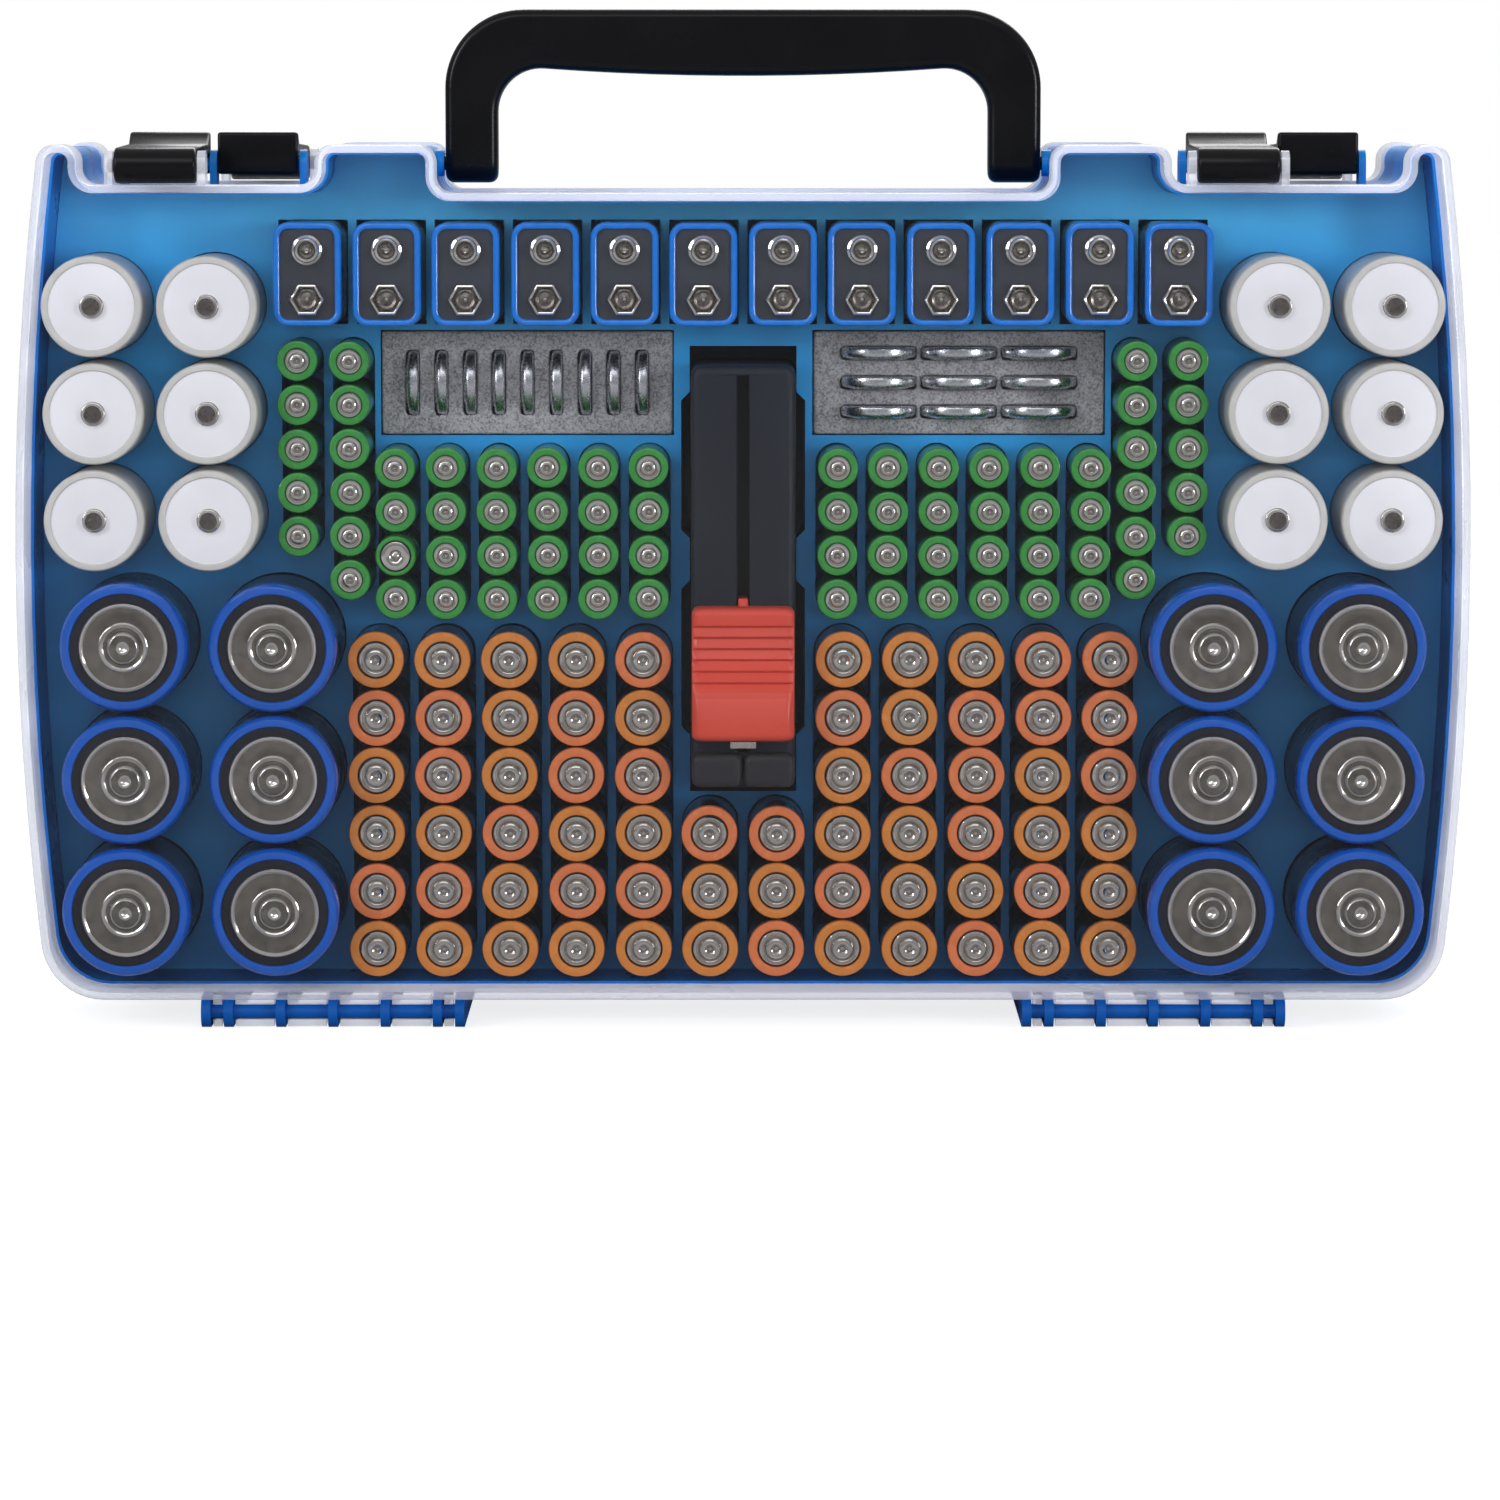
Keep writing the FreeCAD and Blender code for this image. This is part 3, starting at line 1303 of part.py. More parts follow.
front_cover = make_cover()
latches = {side: make_latch("front_latch_" + side, place) for side, place in FRONT_LATCHES.items()}
pieces = [
    make_frame(),
    front_cover,
    turned_copy("rear_cover", front_cover),
    latches["left"],
    latches["right"],
    turned_copy("rear_latch_left", latches["left"]),
    turned_copy("rear_latch_right", latches["right"]),
    make_handle(),
    make_front_tray(),
    make_rear_tray(),
    make_tester_body(),
    make_tester_slider(),
    make_slider_contact(),
    make_tester_anvil(),
    make_left_foam(),
    make_right_foam(),
    make_left_coins(),
    make_right_coins(),
    make_standing_cells("aa_cells_front", "aa", AA_PLACES),
    make_standing_cells("aaa_cells_front", "aaa", AAA_PLACES),
    make_standing_cells("c_cells", "c", C_PLACES),
    make_standing_cells("d_cells", "d", D_PLACES),
    make_nine_volt_cells(),
]
pieces += [make_lying_cells(node) for node in LYING]

DOCUMENT.recompute()
for item in DOCUMENT.Objects:
    if "Invalid" in item.State or "Error" in item.State:
        raise RuntimeError("%s: %s" % (item.Label, item.State))
os.makedirs("parts", exist_ok=True)
for piece in pieces:
    if piece.Shape.isNull() or not piece.Shape.isValid():
        raise RuntimeError("%s has no sound shape" % piece.Label)
    piece.Shape.exportStep("parts/%s.step" % piece.Label)
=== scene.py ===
"""Dresses the battery case for its render. Lengths are in mm up to the camera, then in metres."""
import json
import math

import bmesh
import bpy
import numpy as np
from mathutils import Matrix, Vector

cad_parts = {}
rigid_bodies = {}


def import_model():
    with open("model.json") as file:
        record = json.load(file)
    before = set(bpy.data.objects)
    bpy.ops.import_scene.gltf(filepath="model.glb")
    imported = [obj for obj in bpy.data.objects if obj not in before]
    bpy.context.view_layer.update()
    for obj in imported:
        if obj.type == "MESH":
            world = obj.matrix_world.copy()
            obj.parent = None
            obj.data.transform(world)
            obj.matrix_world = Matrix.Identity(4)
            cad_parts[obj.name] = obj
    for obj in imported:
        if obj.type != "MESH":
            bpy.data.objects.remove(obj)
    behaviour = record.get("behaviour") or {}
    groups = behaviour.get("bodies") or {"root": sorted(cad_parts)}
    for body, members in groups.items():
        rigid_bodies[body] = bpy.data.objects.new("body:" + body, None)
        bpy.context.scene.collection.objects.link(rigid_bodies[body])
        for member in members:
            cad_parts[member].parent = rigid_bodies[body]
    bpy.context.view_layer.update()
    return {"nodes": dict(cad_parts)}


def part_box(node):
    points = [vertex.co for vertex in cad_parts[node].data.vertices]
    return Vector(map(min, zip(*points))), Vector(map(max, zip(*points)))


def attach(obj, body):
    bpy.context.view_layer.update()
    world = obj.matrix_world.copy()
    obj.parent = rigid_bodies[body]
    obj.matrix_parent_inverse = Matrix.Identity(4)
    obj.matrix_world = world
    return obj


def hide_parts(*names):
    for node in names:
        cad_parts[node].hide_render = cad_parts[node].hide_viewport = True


for thing in list(bpy.data.objects):
    bpy.data.objects.remove(thing)
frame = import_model()
nodes = frame["nodes"]
scene = bpy.context.scene
MM = 0.001
TO_MM = 1000
# metres within which two points of a CAD mesh are one
WELD = 2e-6
rng = np.random.default_rng(11)

# ---------------------------------------------------------------- materials


def rgb(code):
    """The linear colour of a six-digit code."""
    parts = [int(code[k : k + 2], 16) / 255 for k in (0, 2, 4)]
    return tuple(p / 12.92 if p < 0.04045 else ((p + 0.055) / 1.055) ** 2.4 for p in parts)


def feed(tree, node, inputs):
    """Sets or links a node's inputs."""
    for key, value in inputs.items():
        if isinstance(value, bpy.types.NodeSocket):
            tree.links.new(value, node.inputs[key])
        else:
            node.inputs[key].default_value = value


def put(tree, kind, inputs=None, **settings):
    """A new node with its inputs set or linked."""
    node = tree.nodes.new("ShaderNode" + kind)
    for key, value in settings.items():
        setattr(node, key, value)
    feed(tree, node, inputs or {})
    return node


def ramp(tree, factor, *stops):
    """A colour ramp through (place, colour) stops."""
    node = put(tree, "ValToRGB", {"Fac": factor})
    elements = node.color_ramp.elements
    elements.remove(elements[1])
    elements[0].position = stops[0][0]
    elements[0].color = (*stops[0][1], 1)
    for place, colour in stops[1:]:
        elements.new(place).color = (*colour, 1)
    return node.outputs["Color"]


def noise(tree, vector, scale, detail=3.0):
    return put(tree, "TexNoise", {"Vector": vector, "Scale": scale, "Detail": detail}).outputs[0]


def spread(tree, factor, low, high, first=0.3, last=0.7):
    """Maps first to low and last to high."""
    inputs = {"Value": factor, "From Min": first, "From Max": last, "To Min": low, "To Max": high}
    return put(tree, "MapRange", inputs).outputs[0]


def calc(tree, operation, *values):
    return put(tree, "Math", dict(enumerate(values)), operation=operation).outputs[0]


def blend(tree, share, first, second, how="MIX"):
    inputs = {0: share, 6: first, 7: second}
    return put(tree, "Mix", inputs, data_type="RGBA", blend_type=how).outputs[2]


def mix_shaders(tree, share, first, second):
    return put(tree, "MixShader", {0: share, 1: first, 2: second}).outputs[0]


def bump(tree, height, strength, depth):
    inputs = {"Height": height, "Strength": strength, "Distance": depth * MM}
    return put(tree, "Bump", inputs).outputs[0]


def object_place(tree):
    return put(tree, "TexCoord").outputs["Object"]


def within(tree, axes, limits):
    """1 where each axis lies between its two limits, and 0 elsewhere."""
    inside = None
    for axis, (low, high) in zip(axes, limits):
        test = calc(tree, "COMPARE", axis, (low + high) / 2, (high - low) / 2)
        inside = test if inside is None else calc(tree, "MULTIPLY", inside, test)
    return inside


def shades(code, low, high):
    """A colour times each of two factors."""
    return [tuple(c * k for c in rgb(code)) for k in (low, high)]


def blank(name):
    material = bpy.data.materials.new(name)
    material.use_nodes = True
    tree = material.node_tree
    return material, tree, tree.nodes["Principled BSDF"]


def surface(
    name, code, rough, coat=0.0, shine=0.5, grain=700.0, depth=0.04, mottle=0.06, clouds=45.0
):
    """Mottled colour, uneven gloss and a fine grain."""
    material, tree, shader = blank(name)
    place = object_place(tree)
    wide = noise(tree, place, clouds, 4.0)
    fine = noise(tree, place, grain, 2.0)
    dark, light = shades(code, 1 - mottle, 1 + mottle)
    feed(tree, shader, {
        "Base Color": ramp(tree, wide, (0.3, dark), (0.7, light)),
        "Roughness": spread(tree, wide, rough * 0.8, rough * 1.25),
        "Specular IOR Level": shine,
        "Coat Weight": coat,
        "Coat Roughness": 0.06,
        "Normal": bump(tree, fine, 0.6, depth),
    })
    return material


def label(name, code, marks, metal):
    """A printed sleeve.

    Each mark is (first turn, last turn, first end, last end, colour), with its limits as shares.
    """
    material, tree, shader = blank(name)
    rough = 0.28
    coordinates = put(tree, "TexCoord").outputs
    axes = put(tree, "SeparateXYZ", {"Vector": coordinates["UV"]}).outputs
    clouds = noise(tree, coordinates["Object"], 160.0)
    dark, light = shades(code, 0.95, 1.05)
    paint = ramp(tree, clouds, (0.3, dark), (0.7, light))
    for low_turn, high_turn, low_end, high_end, mark in marks:
        inside = within(tree, axes, ((low_turn, high_turn), (low_end, high_end)))
        paint = blend(tree, inside, paint, (*rgb(mark), 1))
    feed(tree, shader, {
        "Base Color": paint,
        "Roughness": spread(tree, clouds, rough * 0.8, rough * 1.3),
        "Metallic": metal,
        "Coat Weight": 0.3,
        "Coat Roughness": 0.1,
        "Normal": bump(tree, clouds, 0.3, 0.01),
    })
    return material


# (milk, distance from the case's middle plane where it starts to fade, distance where it has gone)
WALL_MILK = (0.42, 39.5, 41.5)
RIM_MILK = (0.86, 26.3, 26.6)


def clear_plastic(name):
    """Clear moulded plastic: see-through in the face, milky in the side walls and their rims."""
    material, tree, shader = blank(name)
    place = object_place(tree)
    across = put(tree, "SeparateXYZ", {"Vector": place}).outputs[1]
    reach = calc(tree, "ABSOLUTE", across)
    facing = put(tree, "LayerWeight", {"Blend": 0.5}).outputs["Facing"]
    smear = noise(tree, place, 22.0, 5.0)
    milk = spread(tree, facing, 0.003, 0.6, 0.42, 0.95)
    for amount, fades, gone in (WALL_MILK, RIM_MILK):
        milk = calc(tree, "MAXIMUM", milk, spread(tree, reach, amount, 0.0, fades * MM, gone * MM))
    haze = calc(tree, "MULTIPLY", milk, spread(tree, smear, 0.92, 1.08))
    milky = {"Base Color": (*rgb("F0F2FA"), 1), "Roughness": spread(tree, smear, 0.2, 0.34)}
    feed(tree, shader, milky)
    through = put(tree, "BsdfTransparent", {"Color": (0.965, 0.97, 0.985, 1)}).outputs[0]
    ripples = bump(tree, noise(tree, place, 120.0), 0.25, 0.03)
    gloss = {"Color": (1, 1, 1, 1), "Roughness": 0.09, "Normal": ripples}
    mirror = put(tree, "BsdfGlossy", gloss).outputs[0]
    glance = calc(tree, "MULTIPLY", put(tree, "Fresnel", {"IOR": 1.42}).outputs[0], 0.2)
    glass = mix_shaders(tree, glance, through, mirror)
    plastic = mix_shaders(tree, haze, glass, shader.outputs[0])
    shadow = put(tree, "LightPath").outputs["Is Shadow Ray"]
    lit = mix_shaders(tree, shadow, plastic, through)
    feed(tree, tree.nodes["Material Output"], {"Surface": lit})
    return material


# height over which painted light and shade are spread on the blue plastics
PAINTED_LIGHT_HEIGHT = 230
# limits of the box round the tester's pocket, where painted shade makes the tray near black
POCKET = ((-16.6, 16.6), (-4.6, 20.6), (57.2, 172.8))


def painted_light_by_height(name, rough, shine, stops, pocket_shade=None):
    """A moulded plastic with painted light and shade that follow the height, darker low down and
    lighter towards the top, and painted shade in the tester's pocket when a pocket colour is given.

    Each stop is (height, colour).
    """
    material = surface(name, "FFFFFF", rough, shine=shine)
    tree = material.node_tree
    colour = tree.nodes["Principled BSDF"].inputs["Base Color"]
    place = put(tree, "SeparateXYZ", {"Vector": object_place(tree)}).outputs
    # painted light and shade: the white plastic is multiplied by a colour that follows the height
    share = spread(tree, place[2], 0.0, 1.0, 0.0, PAINTED_LIGHT_HEIGHT * MM)
    painted_light_colour = ramp(tree, share, *((height / PAINTED_LIGHT_HEIGHT, rgb(code)) for height, code in stops))
    paint = blend(tree, 1.0, colour.links[0].from_socket, painted_light_colour, "MULTIPLY")
    # painted shade: the tester's pocket is made near black
    if pocket_shade:
        inside = within(tree, place, [(low * MM, high * MM) for low, high in POCKET])
        paint = blend(tree, inside, paint, (*rgb(pocket_shade), 1))
    tree.links.new(paint, colour)
    return material


def foam_material():
    """Open-cell foam: grey with dark and light specks."""
    material, tree, shader = blank("foam_specks")
    place = object_place(tree)
    specks, wide = noise(tree, place, 1900.0, 2.0), noise(tree, place, 420.0, 3.0)
    cells = put(tree, "Mix", {0: 0.25, 2: specks, 3: wide}, data_type="FLOAT").outputs[0]
    greys = ((0.36, rgb("757577")), (0.47, rgb("989799")), (0.6, rgb("AEADAF")))
    feed(tree, shader, {
        "Base Color": ramp(tree, cells, *greys),
        "Roughness": 0.95,
        "Specular IOR Level": 0.15,
        "Normal": bump(tree, cells, 0.9, 0.35),
    })
    return material


def steel(name, code, rough, stain=0.86):
    """Plated steel with a little tarnish and uneven polish."""
    material, tree, shader = blank(name)
    place = object_place(tree)
    stains, polish = noise(tree, place, 420.0, 3.0), noise(tree, place, 1500.0, 2.0)
    worn, bright = shades(code, stain, 1)
    feed(tree, shader, {
        "Base Color": ramp(tree, stains, (0.35, worn), (0.62, bright)),
        "Roughness": spread(tree, polish, rough * 0.8, rough * 1.25),
        "Metallic": 1.0,
        "Normal": bump(tree, polish, 0.3, 0.005),
    })
    return material


# painted shade darkens the frame's bottom, and painted light lightens its top
FRAME_BLUE_PAINTED_LIGHT = painted_light_by_height(
    "frame_plastic_painted_light", 0.3, 0.2, ((7, "0654A8"), (13, "0E74CE"), (190, "0E74CE"), (215, "1484DA"))
)
# painted light grows from the tray's bottom to its top
TRAY_BLUE_PAINTED_LIGHT = painted_light_by_height(
    "tray_plastic_painted_light", 0.36, 0.3,
    # 16181E is painted shade in the tester's pocket
    ((20, "1878B8"), (110, "1A88CC"), (165, "1C9CE2"), (190, "24A6EC"), (205, "4CC6FE")), "16181E",
)
CLEAR = clear_plastic("clear_plastic")
BLACK = surface("black_plastic", "0A0A0D", 0.26, shine=0.2, grain=900.0, depth=0.012, mottle=0.12)
SATIN = {"shine": 0.2, "grain": 1500.0, "depth": 0.012, "mottle": 0.05}
TESTER_DARK = surface("tester_plastic", "23262D", 0.42, **SATIN)
ANVIL_DARK = surface("anvil_plastic", "2C2C2F", 0.38, **SATIN)
SLIDER_RED = surface(
    "slider_plastic", "D04A3A", 0.34, shine=0.35, grain=1300.0, depth=0.01, mottle=0.04
)
CONTACT = steel("contact_metal", "D6CBC4", 0.25)
FOAM = foam_material()
STEEL = steel("terminal_steel", "E2DDD5", 0.1, 0.95)
# the disc and tip steels are darker copies of the terminal steel for the flat faces of the tips:
# painted dark reflection
DISC_STEEL_PAINTED_REFLECTION = steel("disc_steel_painted_dark_reflection", "968F86", 0.2, 0.76)
TIP_STEEL_PAINTED_REFLECTION = steel("tip_steel_painted_dark_reflection", "B6B0A7", 0.12, 0.88)
POLISHED = steel("coin_steel", "DCDCE0", 0.26, 0.95)
# dull steel is rougher, and darker as painted shade in the hollows of the 9 V terminals and on the
# sunk centres of the C cells' buttons
DULL_STEEL_PAINTED_SHADE = steel("dull_steel_painted_shade", "807A74", 0.3, 0.8)
# near black for the dark gaps at the cells' ends and round the coin cells, and painted shade in the
# tester's slot
GAP_BLACK_AND_SLOT_SHADE = surface("gap_black_and_slot_shade", "15130F", 0.5)
RING_BLACK = surface("ring_black", "1B1C22", 0.4, shine=0.25)
COPPER = [
    surface("sleeve_salmon", "CE7040", 0.25, coat=0.3, shine=0.3, clouds=220.0),
    surface("sleeve_amber", "C67832", 0.25, coat=0.3, shine=0.3, clouds=220.0),
]
AA_SIDE = surface("sleeve_black", "221D22", 0.25, coat=0.3)
GREEN = surface("sleeve_green", "358A3B", 0.25, coat=0.3, shine=0.3, clouds=220.0)
GREEN_SIDE = surface("sleeve_dark_green", "226E2A", 0.3, coat=0.3)
WHITE_SLEEVE = surface("sleeve_white", "C7C4BD", 0.35, coat=0.2, clouds=180.0)
WHITE_PLATE = surface("plate_white", "E8E6E8", 0.4)
D_BLUE = surface("sleeve_blue", "0452B0", 0.25, coat=1.0, shine=0.1, clouds=90.0)
D_SIDE = surface("sleeve_night", "171B24", 0.25, shine=0.35)
BLOCK_RIM = surface("sleeve_rim", "1074D2", 0.25, coat=1.0, shine=0.1, clouds=200.0)
BLOCK_TOP = surface("block_top", "3A3D44", 0.5, shine=0.2)
BLOCK_SIDE = surface("block_side", "262B36", 0.3, coat=0.2)

# ---------------------------------------------------------------- meshes


def box_mm(node):
    return [np.array(corner) * TO_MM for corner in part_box(node)]


def loose_parts(node):
    """(lowest corner, highest corner) of each loose part of a CAD node, top row first."""
    work = bmesh.new()
    work.from_mesh(nodes[node].data)
    bmesh.ops.remove_doubles(work, verts=work.verts, dist=WELD)
    seen, boxes = set(), []
    for vertex in work.verts:
        if vertex in seen:
            continue
        seen.add(vertex)
        queue, points = [vertex], []
        while queue:
            here = queue.pop()
            points.append(here.co)
            for edge in here.link_edges:
                other = edge.other_vert(here)
                if other not in seen:
                    seen.add(other)
                    queue.append(other)
        cloud = np.array(points) * TO_MM
        boxes.append((cloud.min(0), cloud.max(0)))
    work.free()
    return sorted(boxes, key=lambda b: (-round((b[0][2] + b[1][2]) / 2, 1), b[0][0]))


def rounded(place, half_width, half_height, corner, inset, depth):
    """A ring of points round a rectangle with round corners, seen from the front."""
    ring, steps = [], 6
    corner = max(corner - inset, 0.15)
    for quarter, (sx, sz) in enumerate(((1, 1), (-1, 1), (-1, -1), (1, -1))):
        for k in range(steps + 1):
            t = math.radians(90 * quarter + 90 * k / steps)
            x = place[0] + sx * (half_width - inset - corner) + corner * math.cos(t)
            z = place[2] + sz * (half_height - inset - corner) + corner * math.sin(t)
            ring.append((x, place[1] + depth, z))
    return ring


def show(name, mesh, node, body="case"):
    """Shows a mesh in place of a CAD node."""
    thing = bpy.data.objects.new(name, mesh)
    scene.collection.objects.link(thing)
    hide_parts(node)
    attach(thing, body)
    return thing


class Shape:
    """Collects rings of points into one mesh with several materials."""

    def __init__(self, *materials):
        self.materials = list(materials)
        self.points, self.faces, self.paint, self.turns = [], [], [], []

    def skin(self, rings, materials, shares):
        """Joins each closed ring of points with the next. A ring of one point closes the skin."""
        starts = []
        for ring in rings:
            starts.append(len(self.points))
            self.points.extend(ring)
        count = max(len(ring) for ring in rings)
        for k in range(len(rings) - 1):
            a, b, material = starts[k], starts[k + 1], materials[k]
            low, high = shares[k], shares[k + 1]
            for i in range(count):
                j, u, v = (i + 1) % count, i / count, (i + 1) / count
                if len(rings[k]) == 1:
                    face, turn = (a, b + i, b + j), ((u, low), (u, high), (v, high))
                elif len(rings[k + 1]) == 1:
                    face, turn = (a + i, b, a + j), ((u, low), (u, high), (v, low))
                else:
                    face = (a + i, b + i, b + j, a + j)
                    turn = ((u, low), (u, high), (v, high), (v, low))
                self.faces.append(face)
                self.turns.extend(turn)
                self.paint.append(self.materials.index(material))

    def closed(self, first, rings, last, materials):
        """A skin with a point at each end. The last of its materials goes on to the end."""
        rings = [[first], *rings, [last]]
        paint = materials + [materials[-1]] * len(rings)
        self.skin(rings, paint, [k / len(rings) for k in range(len(rings))])

    def lathe(self, profile, place, axis, segments, start=0.0):
        """Turns (radius, depth, material) points about an axis that runs inwards from place."""
        axis = Vector(axis)
        side = Vector((0, 0, 1)) if abs(axis.z) < 0.5 else Vector((0, 1, 0))
        other = axis.cross(side)
        rings = []
        for radius, depth, _ in profile:
            middle = Vector(place) + axis * depth
            if radius == 0:
                rings.append([tuple(middle)])
                continue
            angles = [2 * math.pi * k / segments + start for k in range(segments)]
            spokes = [side * math.cos(t) + other * math.sin(t) for t in angles]
            rings.append([tuple(middle + spoke * radius) for spoke in spokes])
        length = profile[-1][1] - profile[0][1] or 1
        shares = [(depth - profile[0][1]) / length for _, depth, _ in profile]
        self.skin(rings, [material for _, _, material in profile], shares)

    def mesh(self, name, sharp):
        mesh = bpy.data.meshes.new(name)
        mesh.from_pydata([tuple(c * MM for c in p) for p in self.points], [], self.faces)
        for material in self.materials:
            mesh.materials.append(material)
        mesh.polygons.foreach_set("material_index", self.paint)
        layer = mesh.uv_layers.new(name="turns")
        layer.data.foreach_set("uv", np.array(self.turns, np.float32).ravel())
        work = bmesh.new()
        work.from_mesh(mesh)
        bmesh.ops.recalc_face_normals(work, faces=work.faces)
        work.to_mesh(mesh)
        work.free()
        mesh.shade_smooth()
        mesh.set_sharp_from_angle(angle=math.radians(sharp))
        return mesh

    def build(self, name, node, body="case", sharp=32):
        show(name, self.mesh(name, sharp), node, body)


# ---------------------------------------------------------------- standing cells

# direction from a standing cell's tip to its foot
INWARDS = (0, 1, 0)


def standing(node, play=0.12):
    """Place of the tip, length and half sizes of each standing cell, a little loose in its well."""
    for low, high in loose_parts(node):
        shift = rng.uniform(-play, play, 2)
        place = ((low[0] + high[0]) / 2 + shift[0], low[1], (low[2] + high[2]) / 2 + shift[1])
        yield place, high[1] - low[1], ((high[0] - low[0]) / 2, (high[2] - low[2]) / 2)


def aa_profile(length, radius, sleeve):
    # flat faces take the darker tip steel, a painted dark reflection
    flat, metal, gap, side = TIP_STEEL_PAINTED_REFLECTION, STEEL, GAP_BLACK_AND_SLOT_SHADE, AA_SIDE
    return [
        (0, 0.2, metal), (0.3, 0.16, metal), (0.5, 0.34, flat), (1.0, 0.4, flat),
        (1.35, 0.22, metal), (1.6, 0.02, metal), (2.0, 0.0, metal), (2.4, 0.16, metal),
        (2.6, 0.5, metal), (2.66, 1.15, flat), (2.85, 1.4, flat), (3.1, 1.42, metal),
        (3.3, 1.24, metal), (3.5, 1.2, flat), (3.62, 1.32, metal), (3.78, 1.3, metal),
        (4.1, 1.24, metal), (4.32, 1.4, metal), (4.38, 2.0, gap), (4.72, 2.0, gap),
        (4.78, 1.42, sleeve), (4.95, 1.16, sleeve), (5.4, 1.05, sleeve), (6.5, 1.03, sleeve),
        (6.92, 1.13, sleeve), (radius - 0.04, 1.38, sleeve), (radius, 1.75, sleeve),
        (radius, 3.4, side), (radius, length - 0.5, side), (radius - 0.5, length, side),
        (0, length, side),
    ]


def aaa_profile(length, radius):
    # flat faces take the darker tip steel, a painted dark reflection
    flat, metal, gap, sleeve, side = TIP_STEEL_PAINTED_REFLECTION, STEEL, GAP_BLACK_AND_SLOT_SHADE, GREEN, GREEN_SIDE
    return [
        (0, 0.12, metal), (0.26, 0.1, metal), (0.42, 0.3, flat), (0.75, 0.32, flat),
        (0.95, 0.08, metal), (1.2, 0.0, metal), (1.5, 0.06, metal), (1.8, 0.3, metal),
        (1.92, 0.75, metal), (2.02, 0.95, flat), (2.2, 0.92, metal), (2.6, 0.8, metal),
        (2.92, 0.84, metal), (3.1, 1.0, metal), (3.14, 1.3, gap), (3.22, 1.3, gap),
        (3.28, 1.05, sleeve), (3.42, 0.86, sleeve), (3.9, 0.78, sleeve), (4.6, 0.8, sleeve),
        (4.95, 0.95, sleeve), (radius, 1.35, sleeve), (radius, 3.0, side),
        (radius, length - 0.4, side), (radius - 0.4, length, side), (0, length, side),
    ]


def aaa_tail_profile(length, radius):
    # flat faces take the darker tip steel, a painted dark reflection
    flat, metal, gap, sleeve, side = TIP_STEEL_PAINTED_REFLECTION, STEEL, GAP_BLACK_AND_SLOT_SHADE, GREEN, GREEN_SIDE
    return [
        (0, 0.2, metal), (0.5, 0.16, metal), (0.8, 0.42, flat), (1.25, 0.5, flat),
        (1.6, 0.28, metal), (2.0, 0.18, metal), (3.1, 0.1, metal), (3.6, 0.26, metal),
        (3.9, 0.7, gap), (3.98, 0.7, gap), (4.02, 0.34, sleeve), (4.25, 0.14, sleeve),
        (4.7, 0.16, sleeve), (5.0, 0.4, sleeve), (radius, 0.9, sleeve), (radius, length - 3, side),
        (radius, length - 0.4, side), (radius - 0.4, length, side), (0, length, side),
    ]


def c_profile(length, radius):
    # the button's sunk centre takes the darker dull steel, painted shade
    metal, dull, plate, sleeve = STEEL, DULL_STEEL_PAINTED_SHADE, WHITE_PLATE, WHITE_SLEEVE
    return [
        (0, 0.1, dull), (2.0, 0.06, dull), (2.2, 0.0, metal), (2.5, 0.0, metal),
        (2.72, 0.18, metal), (2.82, 1.2, metal), (2.95, 1.5, metal), (3.1, 1.52, plate),
        (3.7, 1.42, plate), (10.6, 1.42, plate), (10.85, 1.5, plate), (10.9, 1.2, sleeve),
        (11.15, 1.0, sleeve), (11.9, 0.98, sleeve), (12.45, 1.15, sleeve),
        (radius - 0.05, 1.6, sleeve), (radius, 2.2, sleeve), (radius, length - 0.6, sleeve),
        (radius - 0.6, length, sleeve), (0, length, sleeve),
    ]


def d_profile(length, radius):
    # flat faces take the darker disc steel, a painted dark reflection
    flat, metal, ring, sleeve, side = DISC_STEEL_PAINTED_REFLECTION, STEEL, RING_BLACK, D_BLUE, D_SIDE
    return [
        (0, 0.6, metal), (0.35, 0.55, metal), (0.75, 0.3, metal), (1.1, 0.06, metal),
        (1.4, 0.04, metal), (1.65, 0.16, flat), (3.1, 0.1, flat), (3.5, 0.2, metal),
        (3.9, 0.55, metal), (4.15, 1.15, metal), (4.35, 1.42, flat), (4.8, 1.52, flat),
        (5.1, 1.34, metal), (5.45, 1.16, metal), (5.85, 1.2, metal), (6.15, 1.48, flat),
        (6.6, 1.58, flat), (10.2, 1.5, metal), (10.6, 1.22, metal), (11.05, 1.2, metal),
        (11.36, 1.5, ring), (11.5, 1.75, ring), (12.9, 1.75, ring), (13.5, 1.85, ring),
        (13.62, 1.6, sleeve), (13.9, 1.34, sleeve), (14.6, 1.3, sleeve), (15.5, 1.6, sleeve),
        (16.05, 2.3, sleeve), (radius, 3.3, sleeve), (radius, 7.5, side),
        (radius, length - 0.8, side), (radius - 0.8, length, side), (0, length, side),
    ]


# x and z of the AAA cell that stands on its tip
UPENDED = (-88.2, 120.0)
# share of the AA cells with a salmon sleeve
SALMON = 0.42


